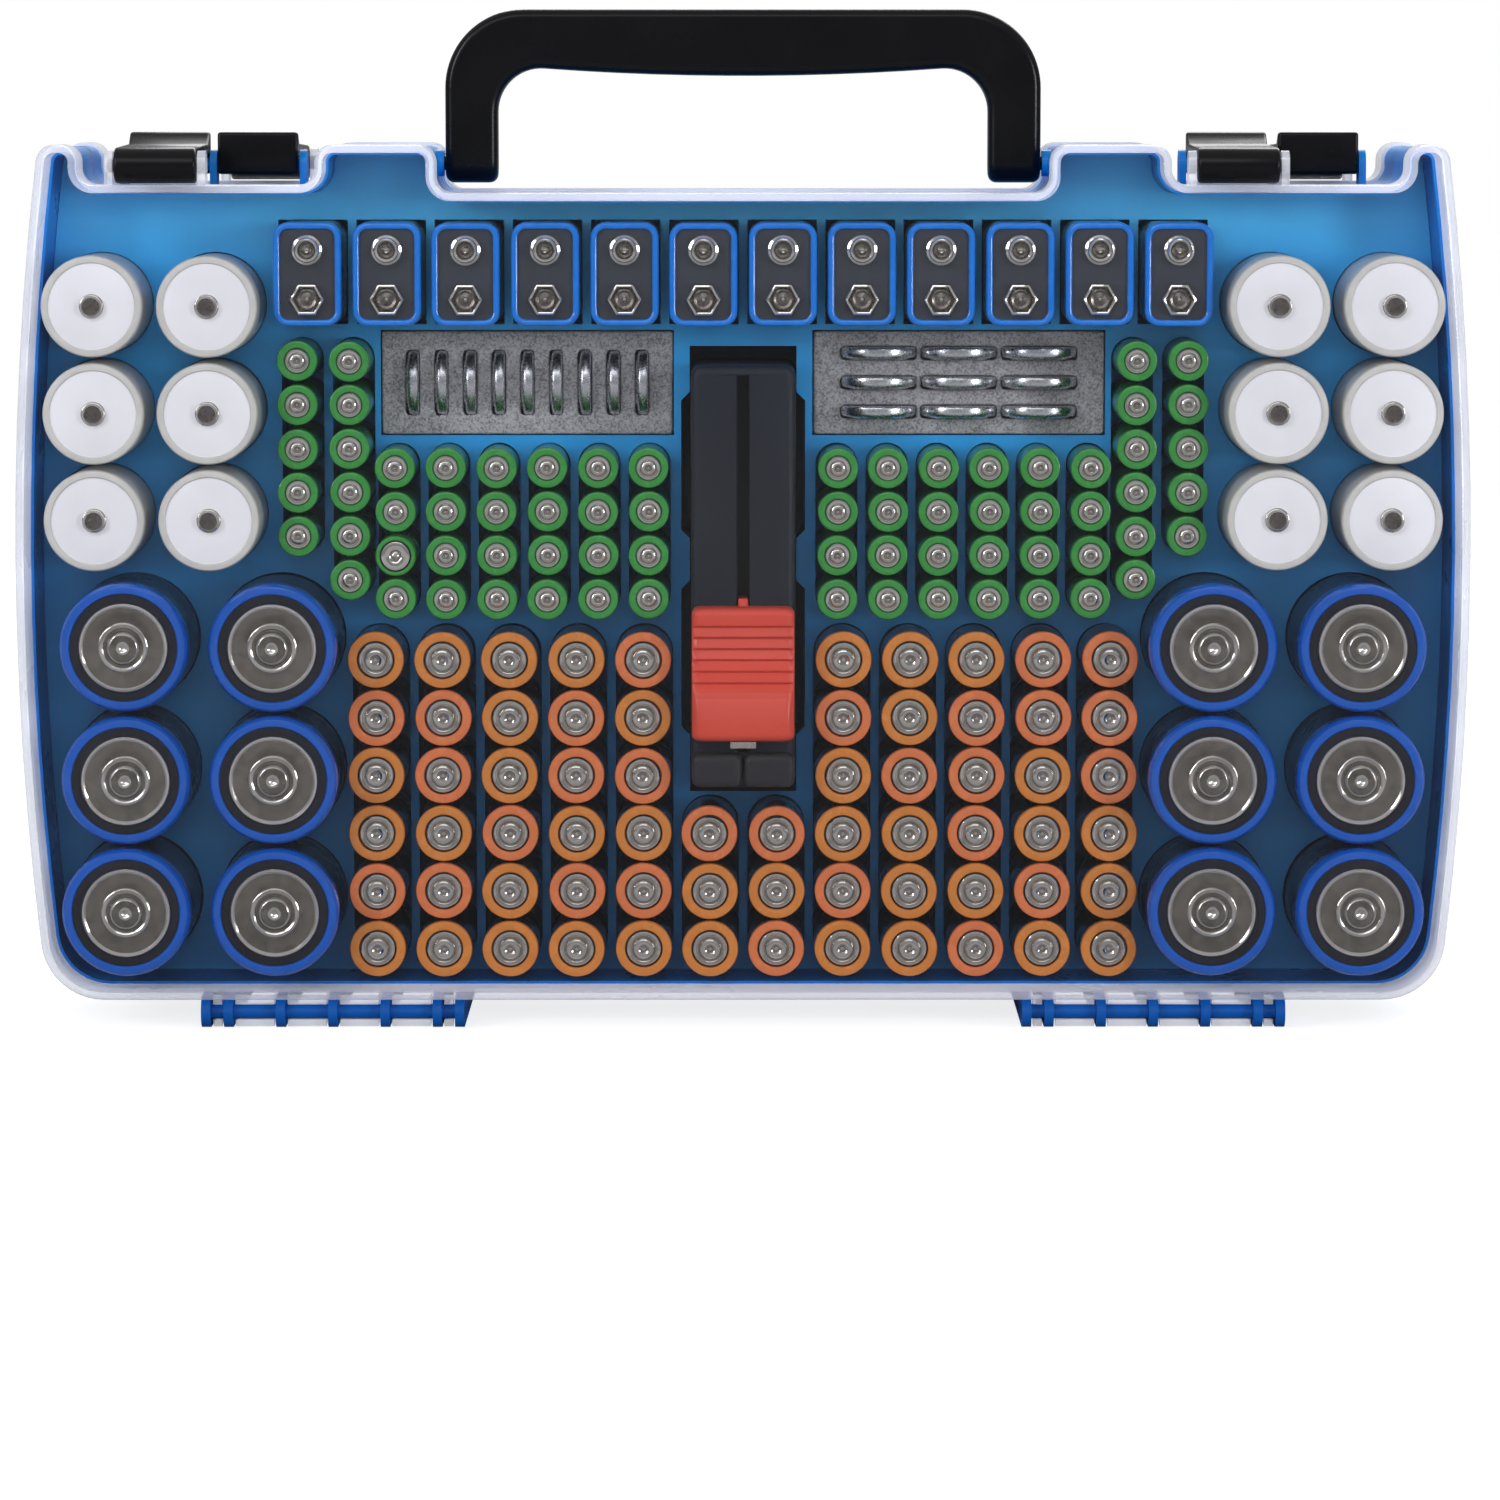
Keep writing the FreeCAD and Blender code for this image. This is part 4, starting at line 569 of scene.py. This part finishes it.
def standing_cells():
    aa = Shape(TIP_STEEL_PAINTED_REFLECTION, STEEL, GAP_BLACK_AND_SLOT_SHADE, AA_SIDE, *COPPER)
    for place, length, (radius, _) in standing("aa_cells_front"):
        sleeve = COPPER[0 if rng.random() < SALMON else 1]
        aa.lathe(aa_profile(length, radius, sleeve), place, INWARDS, 40)
    aa.build("aa_cells_front_detail", "aa_cells_front")
    aaa = Shape(TIP_STEEL_PAINTED_REFLECTION, STEEL, GAP_BLACK_AND_SLOT_SHADE, GREEN, GREEN_SIDE)
    for place, length, (radius, _) in standing("aaa_cells_front"):
        upended = math.hypot(place[0] - UPENDED[0], place[2] - UPENDED[1]) < 3
        profile = (aaa_tail_profile if upended else aaa_profile)(length, radius)
        aaa.lathe(profile, place, INWARDS, 36)
    aaa.build("aaa_cells_front_detail", "aaa_cells_front")
    middle = Shape(STEEL, DULL_STEEL_PAINTED_SHADE, WHITE_PLATE, WHITE_SLEEVE)
    for place, length, (radius, _) in standing("c_cells"):
        middle.lathe(c_profile(length, radius), place, INWARDS, 64)
    middle.build("c_cells_detail", "c_cells")
    large = Shape(DISC_STEEL_PAINTED_REFLECTION, STEEL, RING_BLACK, D_BLUE, D_SIDE)
    for place, length, (radius, _) in standing("d_cells"):
        large.lathe(d_profile(length, radius), place, INWARDS, 72)
    large.build("d_cells_detail", "d_cells")


standing_cells()

# ---------------------------------------------------------------- blocks of 9 V

BLOCK_CORNER = 3.9
# depth of a block's top below its rim
BLOCK_SUNK = 2.62
# heights of the two terminals from the middle of a block
SNAP_RISE, CUP_RISE = 6.1, -6.3
# the hollows in the terminals take the darker dull steel, painted shade
SNAP = (
    (0, 0.75, STEEL), (0.4, 0.7, STEEL), (0.7, 1.05, DULL_STEEL_PAINTED_SHADE), (1.3, 1.3, DULL_STEEL_PAINTED_SHADE),
    (1.75, 1.2, STEEL), (2.05, 0.7, STEEL), (2.3, 0.2, STEEL), (2.6, 0.0, STEEL),
    (2.95, 0.08, STEEL), (3.15, 0.4, STEEL), (3.1, 1.0, STEEL), (3.2, 1.45, STEEL),
    (3.5, 1.6, STEEL), (3.78, 1.75, STEEL), (3.82, 2.7, STEEL), (0, 2.7, STEEL),
)
CUP = (
    (0, 0.8, STEEL), (0.45, 0.75, STEEL), (0.75, 1.15, DULL_STEEL_PAINTED_SHADE), (1.7, 1.4, DULL_STEEL_PAINTED_SHADE),
    (2.3, 1.15, DULL_STEEL_PAINTED_SHADE), (2.75, 1.3, DULL_STEEL_PAINTED_SHADE), (2.95, 1.7, DULL_STEEL_PAINTED_SHADE), (0, 1.9, DULL_STEEL_PAINTED_SHADE),
)
HEXAGON = (
    (0, 1.6, DULL_STEEL_PAINTED_SHADE), (3.2, 1.6, STEEL), (3.45, 0.5, STEEL), (3.65, 0.1, STEEL),
    (3.9, 0.0, STEEL), (4.25, 0.14, STEEL), (4.55, 0.55, STEEL), (4.68, 1.3, STEEL),
    (4.75, 2.7, STEEL), (0, 2.7, STEEL),
)


def nine_volt_cells():
    """Blocks with a raised rim, a round snap above and a six-sided one with a cup below."""
    shape = Shape(BLOCK_SIDE, BLOCK_RIM, BLOCK_TOP, STEEL, DULL_STEEL_PAINTED_SHADE)
    for place, length, half in standing("nine_volt_cells", 0.1):
        levels = [
            (1.75, BLOCK_SUNK, BLOCK_TOP), (1.72, 2.3, BLOCK_RIM), (1.55, 1.95, BLOCK_RIM),
            (1.2, 1.72, BLOCK_RIM), (0.8, 1.66, BLOCK_RIM), (0.4, 1.8, BLOCK_RIM),
            (0.1, 2.15, BLOCK_RIM), (0.0, 2.7, BLOCK_RIM), (0.0, 4.6, BLOCK_SIDE),
            (0.0, length - 0.5, BLOCK_SIDE), (0.5, length, BLOCK_SIDE),
        ]
        rings = [rounded(place, *half, BLOCK_CORNER, inset, depth) for inset, depth, _ in levels]
        top, foot = [(place[0], place[1] + depth, place[2]) for depth in (BLOCK_SUNK, length)]
        shape.closed(top, rings, foot, [BLOCK_TOP] + [material for _, _, material in levels])
        high_spot, low_spot = [(*place[:2], place[2] + rise) for rise in (SNAP_RISE, CUP_RISE)]
        shape.lathe(SNAP, high_spot, INWARDS, 36)
        shape.lathe(CUP, low_spot, INWARDS, 36)
        shape.lathe(HEXAGON, low_spot, INWARDS, 6, math.radians(30))
    shape.build("nine_volt_cells_detail", "nine_volt_cells", sharp=28)


nine_volt_cells()

# ---------------------------------------------------------------- battery tester

SLOT_DEPTH = 9
# (inset, depth) of the rings down the slot, and of those round the housing and the lower jaw
SLOT_EDGE = ((0, SLOT_DEPTH), (0, 0.3), (-0.25, 0))
HOUSING_EDGE = ((2.3, 0), (1.5, 0.13), (0.85, 0.45), (0.35, 1.0), (0.08, 1.7), (0, 2.5))
JAW_EDGE = ((2.4, 0.0), (1.3, 0.06), (0.6, 0.3), (0.15, 0.85), (0, 1.6))
# the slot's half width, and the wall above its upper end
SLOT_HALF, SLOT_WALL = 1.5, 2.4
# half width of the parting line of the lower jaw
PARTING = 0.3


def tester_body():
    """The housing with rounded edges and the slot that the slider runs in."""
    low, high = box_mm("tester_body")
    anvil_top = box_mm("tester_anvil")[1][2]
    middle = (0, low[1], (low[2] + high[2]) / 2)
    slot = (0, low[1], (anvil_top + high[2] - SLOT_WALL) / 2)
    half = slot[2] - anvil_top
    rings = [rounded(slot, SLOT_HALF, half, 0.5, inset, depth) for inset, depth in SLOT_EDGE]
    for inset, depth in (*HOUSING_EDGE, (0, high[1] - low[1])):
        rings.append(rounded(middle, high[0], high[2] - middle[2], 3.0, inset, depth))
    shape = Shape(TESTER_DARK, GAP_BLACK_AND_SLOT_SHADE)
    floor, back = (0, low[1] + SLOT_DEPTH, slot[2]), (0, high[1], middle[2])
    # the slot's floor and walls take the gap black: painted shade
    shape.closed(floor, rings, back, [GAP_BLACK_AND_SLOT_SHADE, GAP_BLACK_AND_SLOT_SHADE, TESTER_DARK])
    shape.build("tester_housing", "tester_body")


def tester_anvil():
    """The lower jaw: two cushioned halves with a fine parting line."""
    low, high = box_mm("tester_anvil")
    shape = Shape(ANVIL_DARK)
    half, rise = (high[0] - PARTING) / 2, (high[2] - low[2]) / 2
    for sign in (1, -1):
        x, z = sign * (half + PARTING), (low[2] + high[2]) / 2
        edge = (*JAW_EDGE, (0, high[1] - low[1]))
        rings = [rounded((x, low[1], z), half, rise, 2.0, inset, depth) for inset, depth in edge]
        shape.closed((x, low[1], z), rings, (x, high[1], z), [ANVIL_DARK])
    shape.build("tester_lower_jaw", "tester_anvil")


# the slider's face, measured down from its upper end: a wide hollow, a bulging foot, and ribs
HOLLOW_START, HOLLOW_LENGTH, HOLLOW_DEPTH = 1, 24, 1.9
BULGE_START, BULGE_LENGTH, BULGE_RISE = 23, 11, 0.75
RIBS_START, RIBS_END, RIB_PITCH, RIB_DEPTH = 4.4, 21.7, 2.88, 1.05
# share of a rib's pitch over which its steep side falls
RIB_STEEP = 0.2


def rib_relief(drop):
    """How far the slider's face lies behind its nominal face, this far below its upper end."""
    relief = 0.0
    if HOLLOW_START < drop < HOLLOW_START + HOLLOW_LENGTH:
        relief += HOLLOW_DEPTH * math.sin(math.pi * (drop - HOLLOW_START) / HOLLOW_LENGTH) ** 2
    if drop > BULGE_START:
        relief -= BULGE_RISE * math.sin(math.pi * (drop - BULGE_START) / BULGE_LENGTH)
    if RIBS_START < drop < RIBS_END:
        phase = (drop - RIBS_START) / RIB_PITCH % 1
        steep = phase < RIB_STEEP
        relief += RIB_DEPTH * (phase / RIB_STEEP if steep else (1 - phase) / (1 - RIB_STEEP))
    return relief


SLIDER_CORNER = 2.2
SLIDER_END_ROUNDING = 1.9
# room in front of the slider's nominal face for its bulging foot
FACE_ROOM = 0.9
# how far the slider's back stands off the housing
SLIDER_GAP = 0.25
# the tongue's half width, its rounding, and half of what it is longer than the slider
TONGUE_HALF, TONGUE_ROUNDING, TONGUE_REACH = 1.25, 0.4, 0.9


def slider_ring(half, face, back, drop, height):
    """(x, y) points round the slider, this far below its upper end."""
    end = min(drop, height - drop)
    rounding = SLIDER_END_ROUNDING
    shrink = rounding - math.sqrt(rounding**2 - max(rounding - end, 0) ** 2)
    wide, deep = half - shrink, face + shrink
    flat, relief = wide - SLIDER_CORNER, rib_relief(drop)
    turns = [math.radians(90 * k / 6) for k in range(6, -1, -1)]
    radius = SLIDER_CORNER
    front = [(flat + radius * math.sin(t), deep + radius * (1 - math.cos(t))) for t in turns]
    front += [(flat - k * flat / 4, deep) for k in range(1, 5)]
    right = [(wide, back)] + [(x, y + relief * min((wide - x) / 1.4, 1.0)) for x, y in front]
    return right + [(-x, y) for x, y in reversed(right[:-1])]


def tester_slider():
    """The upper jaw: a soft-cornered block with ribs for a finger and a tongue in the slot."""
    low, high = box_mm("tester_slider")
    height = high[2] - low[2]
    back = box_mm("tester_body")[0][1] - SLIDER_GAP
    face = low[1] + FACE_ROOM
    rings = []
    for drop in np.arange(0, height + 0.01, 0.2):
        ring = slider_ring(high[0], face, back, drop, height)
        rings.append([(x, y, high[2] - drop) for x, y in ring])
    top, foot = [(0, (face + back) / 2, z) for z in (high[2], low[2])]
    shape = Shape(SLIDER_RED)
    shape.closed(top, rings, foot, [SLIDER_RED])
    tongue = (0, back - TONGUE_ROUNDING, (low[2] + high[2]) / 2 + TONGUE_REACH)
    edge = [(TONGUE_ROUNDING, 0.0), (0.0, TONGUE_ROUNDING), (0.0, high[1] - tongue[1])]
    half = height / 2 + TONGUE_REACH
    rings = [rounded(tongue, TONGUE_HALF, half, TONGUE_ROUNDING, *level) for level in edge]
    shape.closed(tongue, rings, (0, high[1], tongue[2]), [SLIDER_RED])
    shape.build("tester_upper_jaw", "tester_slider", "tester_slider", sharp=40)


tester_body()
tester_anvil()
tester_slider()

# ---------------------------------------------------------------- lying cells

# colour and marks of each sleeve, whose seen side lies about three quarters of a turn round
SLEEVES = {
    "li_ion_cells": ("E3BC3B", [
        (-0.1, 1.1, 0.13, 0.96, "EBDCA9"), (0.84, 1.1, 0.12, 0.66, "E7C23E"),
        (-0.1, 1.1, 0.725, 0.75, "A8323B"), (-0.1, 1.1, 0.8, 0.825, "A8323B"),
        (-0.1, 1.1, 0.875, 0.9, "A8323B"),
    ]),
    "cr2_cells": ("E6E8EB", [
        (0.67, 0.83, 0.13, 0.36, "2E7CC4"), (0.72, 0.8, 0.44, 0.72, "A9B7C6"),
        (0.62, 0.65, 0.2, 0.8, "B6BDC6"),
    ]),
    "cr123_cells": ("9FA9B4", [
        (-0.1, 1.1, 0.0, 0.19, "272D3A"), (0.52, 0.66, 0.2, 0.97, "DEE1E4"),
        (0.6, 0.78, 0.3, 0.72, "26303F"), (0.63, 0.645, 0.34, 0.68, "C8CDD3"),
        (0.7, 0.71, 0.4, 0.62, "7C8794"),
    ]),
    "six_volt_cells": ("B4984C", [
        (-0.1, 1.1, 0.22, 0.74, "C9BFA0"), (0.72, 0.78, 0.3, 0.66, "9C9173"),
        (0.64, 0.66, 0.28, 0.7, "8D8263"),
    ]),
    "remote_cells": ("9A8F82", [
        (-0.1, 1.1, 0.34, 0.86, "C0BEB4"), (-0.1, 1.1, 0.86, 1.0, "3E9A4E"),
        (0.68, 0.8, 0.12, 0.27, "4A443C"), (0.68, 0.73, 0.42, 0.76, "94918A"),
    ]),
    "aa_cells_rear": ("1D2947", [
        (-0.1, 1.1, 0.03, 0.27, "BFC3C9"), (0.7, 0.79, 0.12, 0.19, "B03440"),
        (0.7, 0.745, 0.34, 0.72, "C6CCD8"), (0.8, 0.82, 0.36, 0.56, "9AA5BC"),
        (0.86, 0.89, 0.5, 0.74, "2C8A68"), (0.56, 0.575, 0.3, 0.95, "8B95AA"),
    ]),
    "aaa_cells_rear_upper": ("B4814C", [
        (-0.1, 1.1, 0.0, 0.19, "57B63E"), (-0.1, 1.1, 0.19, 0.6, "E9E4D8"),
        (0.68, 0.75, 0.63, 0.78, "3B3128"), (0.69, 0.74, 0.28, 0.54, "D7B083"),
    ]),
    "aaa_cells_rear_lower": ("2B9A4F", [
        (-0.1, 1.1, 0.0, 0.2, "E2C938"), (0.71, 0.79, 0.25, 0.5, "E8F0E6"),
        (0.74, 0.77, 0.72, 0.86, "93D0A3"), (0.86, 0.875, 0.26, 0.92, "7CC48C"),
    ]),
}
# (radius, height) of a tip
AAA_NUB = (1.9, 0.9)
NUBS = {
    "li_ion_cells": (3.4, 0.5),
    "cr2_cells": (3.0, 0.8),
    "cr123_cells": (3.2, 0.9),
    "six_volt_cells": (2.8, 0.5),
    "remote_cells": (2.4, 0.9),
    "aa_cells_rear": (2.75, 1.1),
}


def lying_profile(length, radius, nub, rise, sleeve):
    return [
        (0, 0.0, STEEL), (nub - 0.35, 0.0, STEEL), (nub - 0.05, 0.12, STEEL), (nub, 0.4, STEEL),
        (nub, rise, STEEL), (nub + 0.5, rise + 0.15, GAP_BLACK_AND_SLOT_SHADE),
        (radius * 0.74, rise + 0.15, sleeve), (radius * 0.8, rise, sleeve),
        (radius - 0.45, rise + 0.08, sleeve), (radius - 0.1, rise + 0.35, sleeve),
        (radius, rise + 0.8, sleeve), (radius, length - 0.7, sleeve),
        (radius - 0.15, length - 0.3, sleeve), (radius - 0.5, length - 0.12, sleeve),
        (radius * 0.82, length - 0.14, STEEL), (radius * 0.78, length, STEEL), (0, length, STEEL),
    ]


def lying_cells(node):
    code, marks = SLEEVES[node]
    sleeve = label(node + "_sleeve", code, marks, 0.0 if node == "cr2_cells" else 0.25)
    shape = Shape(STEEL, GAP_BLACK_AND_SLOT_SHADE, sleeve)
    turned = node == "aaa_cells_rear_lower"
    for low, high in loose_parts(node):
        radius, length = (high[2] - low[2]) / 2, high[0] - low[0]
        place = (high[0] if turned else low[0], (low[1] + high[1]) / 2, (low[2] + high[2]) / 2)
        profile = lying_profile(length, radius, *NUBS.get(node, AAA_NUB), sleeve)
        roll = rng.uniform(-0.25, 0.25) + (math.pi if turned else 0.0)
        shape.lathe(profile, place, (-1 if turned else 1, 0, 0), 40, roll)
    shape.build(node + "_detail", node)


for cells in SLEEVES:
    lying_cells(cells)

# ---------------------------------------------------------------- coin cells and their foam


def coin_profile(radius):
    return [
        (0, 0.0, POLISHED), (7.4, 0.0, POLISHED), (7.9, 0.08, POLISHED), (8.25, 0.42, GAP_BLACK_AND_SLOT_SHADE),
        (8.6, 0.5, POLISHED), (9.1, 0.42, POLISHED), (9.6, 0.6, POLISHED), (9.9, 0.95, POLISHED),
        (radius, 1.4, POLISHED), (radius, 2.6, POLISHED), (9.88, 2.95, POLISHED),
        (9.55, 3.15, POLISHED), (9.1, 3.2, POLISHED), (0, 3.2, POLISHED),
    ]


def coin_places(side, axis, back=0.0):
    """Middle of the near face, radius and thickness of each coin cell along its axis."""
    along = axis.index(1)
    for low, high in loose_parts("coin_cells_" + side):
        place = (low + high) / 2
        place[along] = low[along] - back
        yield place, (high[1] - low[1]) / 2, high[along] - low[along]


def coin_cells(side, axis):
    shape = Shape(POLISHED, GAP_BLACK_AND_SLOT_SHADE)
    for place, radius, _ in coin_places(side, axis):
        shape.lathe(coin_profile(radius), place, axis, 56)
    shape.build("coin_cells_%s_detail" % side, "coin_cells_" + side)


coin_cells("left", (1, 0, 0))
coin_cells("right", (0, 0, 1))

# how much wider and longer a slot in the foam is than its coin cell, on each side
SLOT_WIDER, SLOT_LONGER = 0.1, 0.15
FOAM_GRID, FOAM_JITTER = 0.6, 0.1


def foam_pad(side, axis):
    """A pad with softened edges and an open-celled skin, closed tight round its coin cells."""
    slab = Shape(FOAM)
    low, high = box_mm("coin_foam_" + side)
    middle, half = (low + high) / 2, (high - low) / 2
    face = rounded((middle[0], low[1], middle[2]), half[0], half[2], 0.6, 0.0, 0.0)
    back = [(x, high[1], z) for x, _, z in face]
    ends = [(middle[0], y, middle[2]) for y in (low[1], high[1])]
    slab.closed(ends[0], [face, back], ends[1], [FOAM])
    slots = Shape(FOAM)
    for place, radius, thick in coin_places(side, axis, SLOT_LONGER):
        radius, thick = radius + SLOT_WIDER, thick + 2 * SLOT_LONGER
        drum = [(0, 0, FOAM), (radius, 0, FOAM), (radius, thick, FOAM), (0, thick, FOAM)]
        slots.lathe(drum, place, axis, 48)
    rough, cutter = [bpy.data.objects.new("foam", part.mesh("foam", 180)) for part in (slab, slots)]
    scene.collection.objects.link(rough)
    scene.collection.objects.link(cutter)
    hollow = rough.modifiers.new("cut", "BOOLEAN")
    hollow.operation, hollow.object = "DIFFERENCE", cutter
    grid = rough.modifiers.new("grid", "REMESH")
    grid.mode, grid.voxel_size = "VOXEL", FOAM_GRID * MM
    rough.modifiers.new("soften", "SMOOTH").iterations = 2
    graph = bpy.context.evaluated_depsgraph_get()
    skin = bpy.data.meshes.new_from_object(rough.evaluated_get(graph))
    bpy.data.objects.remove(rough)
    bpy.data.objects.remove(cutter)
    points = np.empty(len(skin.vertices) * 3, np.float32)
    skin.vertices.foreach_get("co", points)
    points += rng.uniform(-FOAM_JITTER, FOAM_JITTER, points.shape).astype(np.float32) * MM
    skin.vertices.foreach_set("co", points)
    skin.materials.clear()
    skin.materials.append(FOAM)
    skin.shade_smooth()
    pad = show("coin_foam_%s_pad" % side, skin, "coin_foam_" + side)


foam_pad("left", (1, 0, 0))
foam_pad("right", (0, 0, 1))

# ---------------------------------------------------------------- painted solids

PAINT = {
    "case_frame": FRAME_BLUE_PAINTED_LIGHT,
    "front_tray": TRAY_BLUE_PAINTED_LIGHT,
    "rear_tray": TRAY_BLUE_PAINTED_LIGHT,
    "front_cover": CLEAR,
    "rear_cover": CLEAR,
    "carry_handle": BLACK,
    "slider_contact": CONTACT,
}
for node, material in PAINT.items():
    nodes[node].material_slots[0].material = material

# ---------------------------------------------------------------- latches

LATCH_ROUNDING = 0.8
# least angles, in degrees, of an edge that is rounded and of one that stays sharp in the shading
ROUNDED_FROM, SHARP_FROM = 35, 40


def latch(node):
    """A latch with its outer moulded edges rounded."""
    work = bmesh.new()
    work.from_mesh(nodes[node].data)
    bmesh.ops.remove_doubles(work, verts=work.verts, dist=WELD)
    bmesh.ops.dissolve_limit(work, angle_limit=math.radians(1), verts=work.verts, edges=work.edges)
    bmesh.ops.recalc_face_normals(work, faces=work.faces)
    least = math.radians(ROUNDED_FROM)
    convex = [e for e in work.edges if e.is_manifold and e.is_convex]
    edges = [e for e in convex if e.calc_face_angle(0) > least]
    rounding = {"offset": LATCH_ROUNDING * MM, "segments": 4, "profile": 0.5, "clamp_overlap": True}
    bmesh.ops.bevel(work, geom=edges, affect="EDGES", **rounding)
    bmesh.ops.recalc_face_normals(work, faces=work.faces)
    mesh = bpy.data.meshes.new(node + "_rounded")
    work.to_mesh(mesh)
    work.free()
    mesh.materials.clear()
    mesh.materials.append(BLACK)
    mesh.shade_smooth()
    mesh.set_sharp_from_angle(angle=math.radians(SHARP_FROM))
    show(node + "_rounded", mesh, node, node)


for end in ("front", "rear"):
    for side in ("left", "right"):
        latch("%s_latch_%s" % (end, side))

# ---------------------------------------------------------------- camera, light and floor

CAMERA_PLACE = (-0.00038, -1.5454, 0.23658)
# radians by which the camera looks down and to its right
CAMERA_DIP, CAMERA_TURN = 0.1089, 0.0014
lens = bpy.data.cameras.new("camera")
lens.sensor_width, lens.lens, lens.clip_end = 36, 144, 20
camera = bpy.data.objects.new("camera", lens)
camera.location = CAMERA_PLACE
camera.rotation_euler = (math.pi / 2 - CAMERA_DIP, 0, -CAMERA_TURN)
scene.collection.objects.link(camera)
scene.camera = camera
scene.view_settings.view_transform = "Standard"


# what the lamps are turned to
MIDDLE = (0, 0, 0.11)


def lamp(name, place, power, width, height, mirrored=True):
    light = bpy.data.lights.new(name, "AREA")
    light.shape = "RECTANGLE"
    light.size, light.size_y, light.energy = width, height, power
    thing = bpy.data.objects.new(name, light)
    thing.location = place
    thing.rotation_euler = (Vector(MIDDLE) - Vector(place)).to_track_quat("-Z", "Y").to_euler()
    thing.visible_camera = False
    thing.visible_glossy = mirrored
    scene.collection.objects.link(thing)


lamp("key", (-0.25, -1.25, 1.05), 3.5, 1.3, 0.5)
lamp("front_fill", (0, -2.3, 0.4), 13.0, 1.6, 1.2, False)
lamp("left_strip", (-1.15, -0.95, 0.7), 7.5, 0.3, 0.8)
lamp("right_strip", (1.2, -0.95, 0.3), 7.5, 0.3, 0.5)
lamp("back", (0.3, 1.3, 1.1), 13.0, 1.3, 0.8)

world = bpy.data.worlds.new("studio")
scene.world = world
world.use_nodes = True
tree = world.node_tree
room = tree.nodes["Background"]
direction = put(tree, "SeparateXYZ", {"Vector": put(tree, "TexCoord").outputs["Generated"]}).outputs
height = spread(tree, direction[2], 0.0, 1.0, -1.0, 1.0)
greys = ((0.0, 0.24), (0.55, 0.26), (0.72, 0.45), (1.0, 0.6))
feed(tree, room, {"Color": ramp(tree, height, *((share, (grey,) * 3) for share, grey in greys))})
# the camera sees white where the pieces mirror a grey room
white = put(tree, "Background", {"Color": (1, 1, 1, 1), "Strength": 1.0})
seen = put(tree, "LightPath").outputs["Is Camera Ray"]
screen = mix_shaders(tree, seen, room.outputs[0], white.outputs[0])
feed(tree, tree.nodes["World Output"], {"Surface": screen})

FLOOR_REACH = 9
corners = [(x * FLOOR_REACH, y * FLOOR_REACH, 0) for x, y in ((-1, -1), (1, -1), (1, 1), (-1, 1))]
plane = bpy.data.meshes.new("floor")
plane.from_pydata(corners, [], [(0, 1, 2, 3)])
floor = bpy.data.objects.new("floor", plane)
scene.collection.objects.link(floor)
material, tree, shader = blank("floor_pale")
seen = put(tree, "LightPath").outputs["Is Camera Ray"]
feed(tree, shader, {
    "Base Color": (0.42, 0.42, 0.42, 1),
    "Roughness": 0.9,
    "Specular IOR Level": 0.0,
    "Emission Color": (1, 1, 1, 1),
    "Emission Strength": spread(tree, seen, 0.0, 0.8, 0.0, 1.0),
})
plane.materials.append(material)
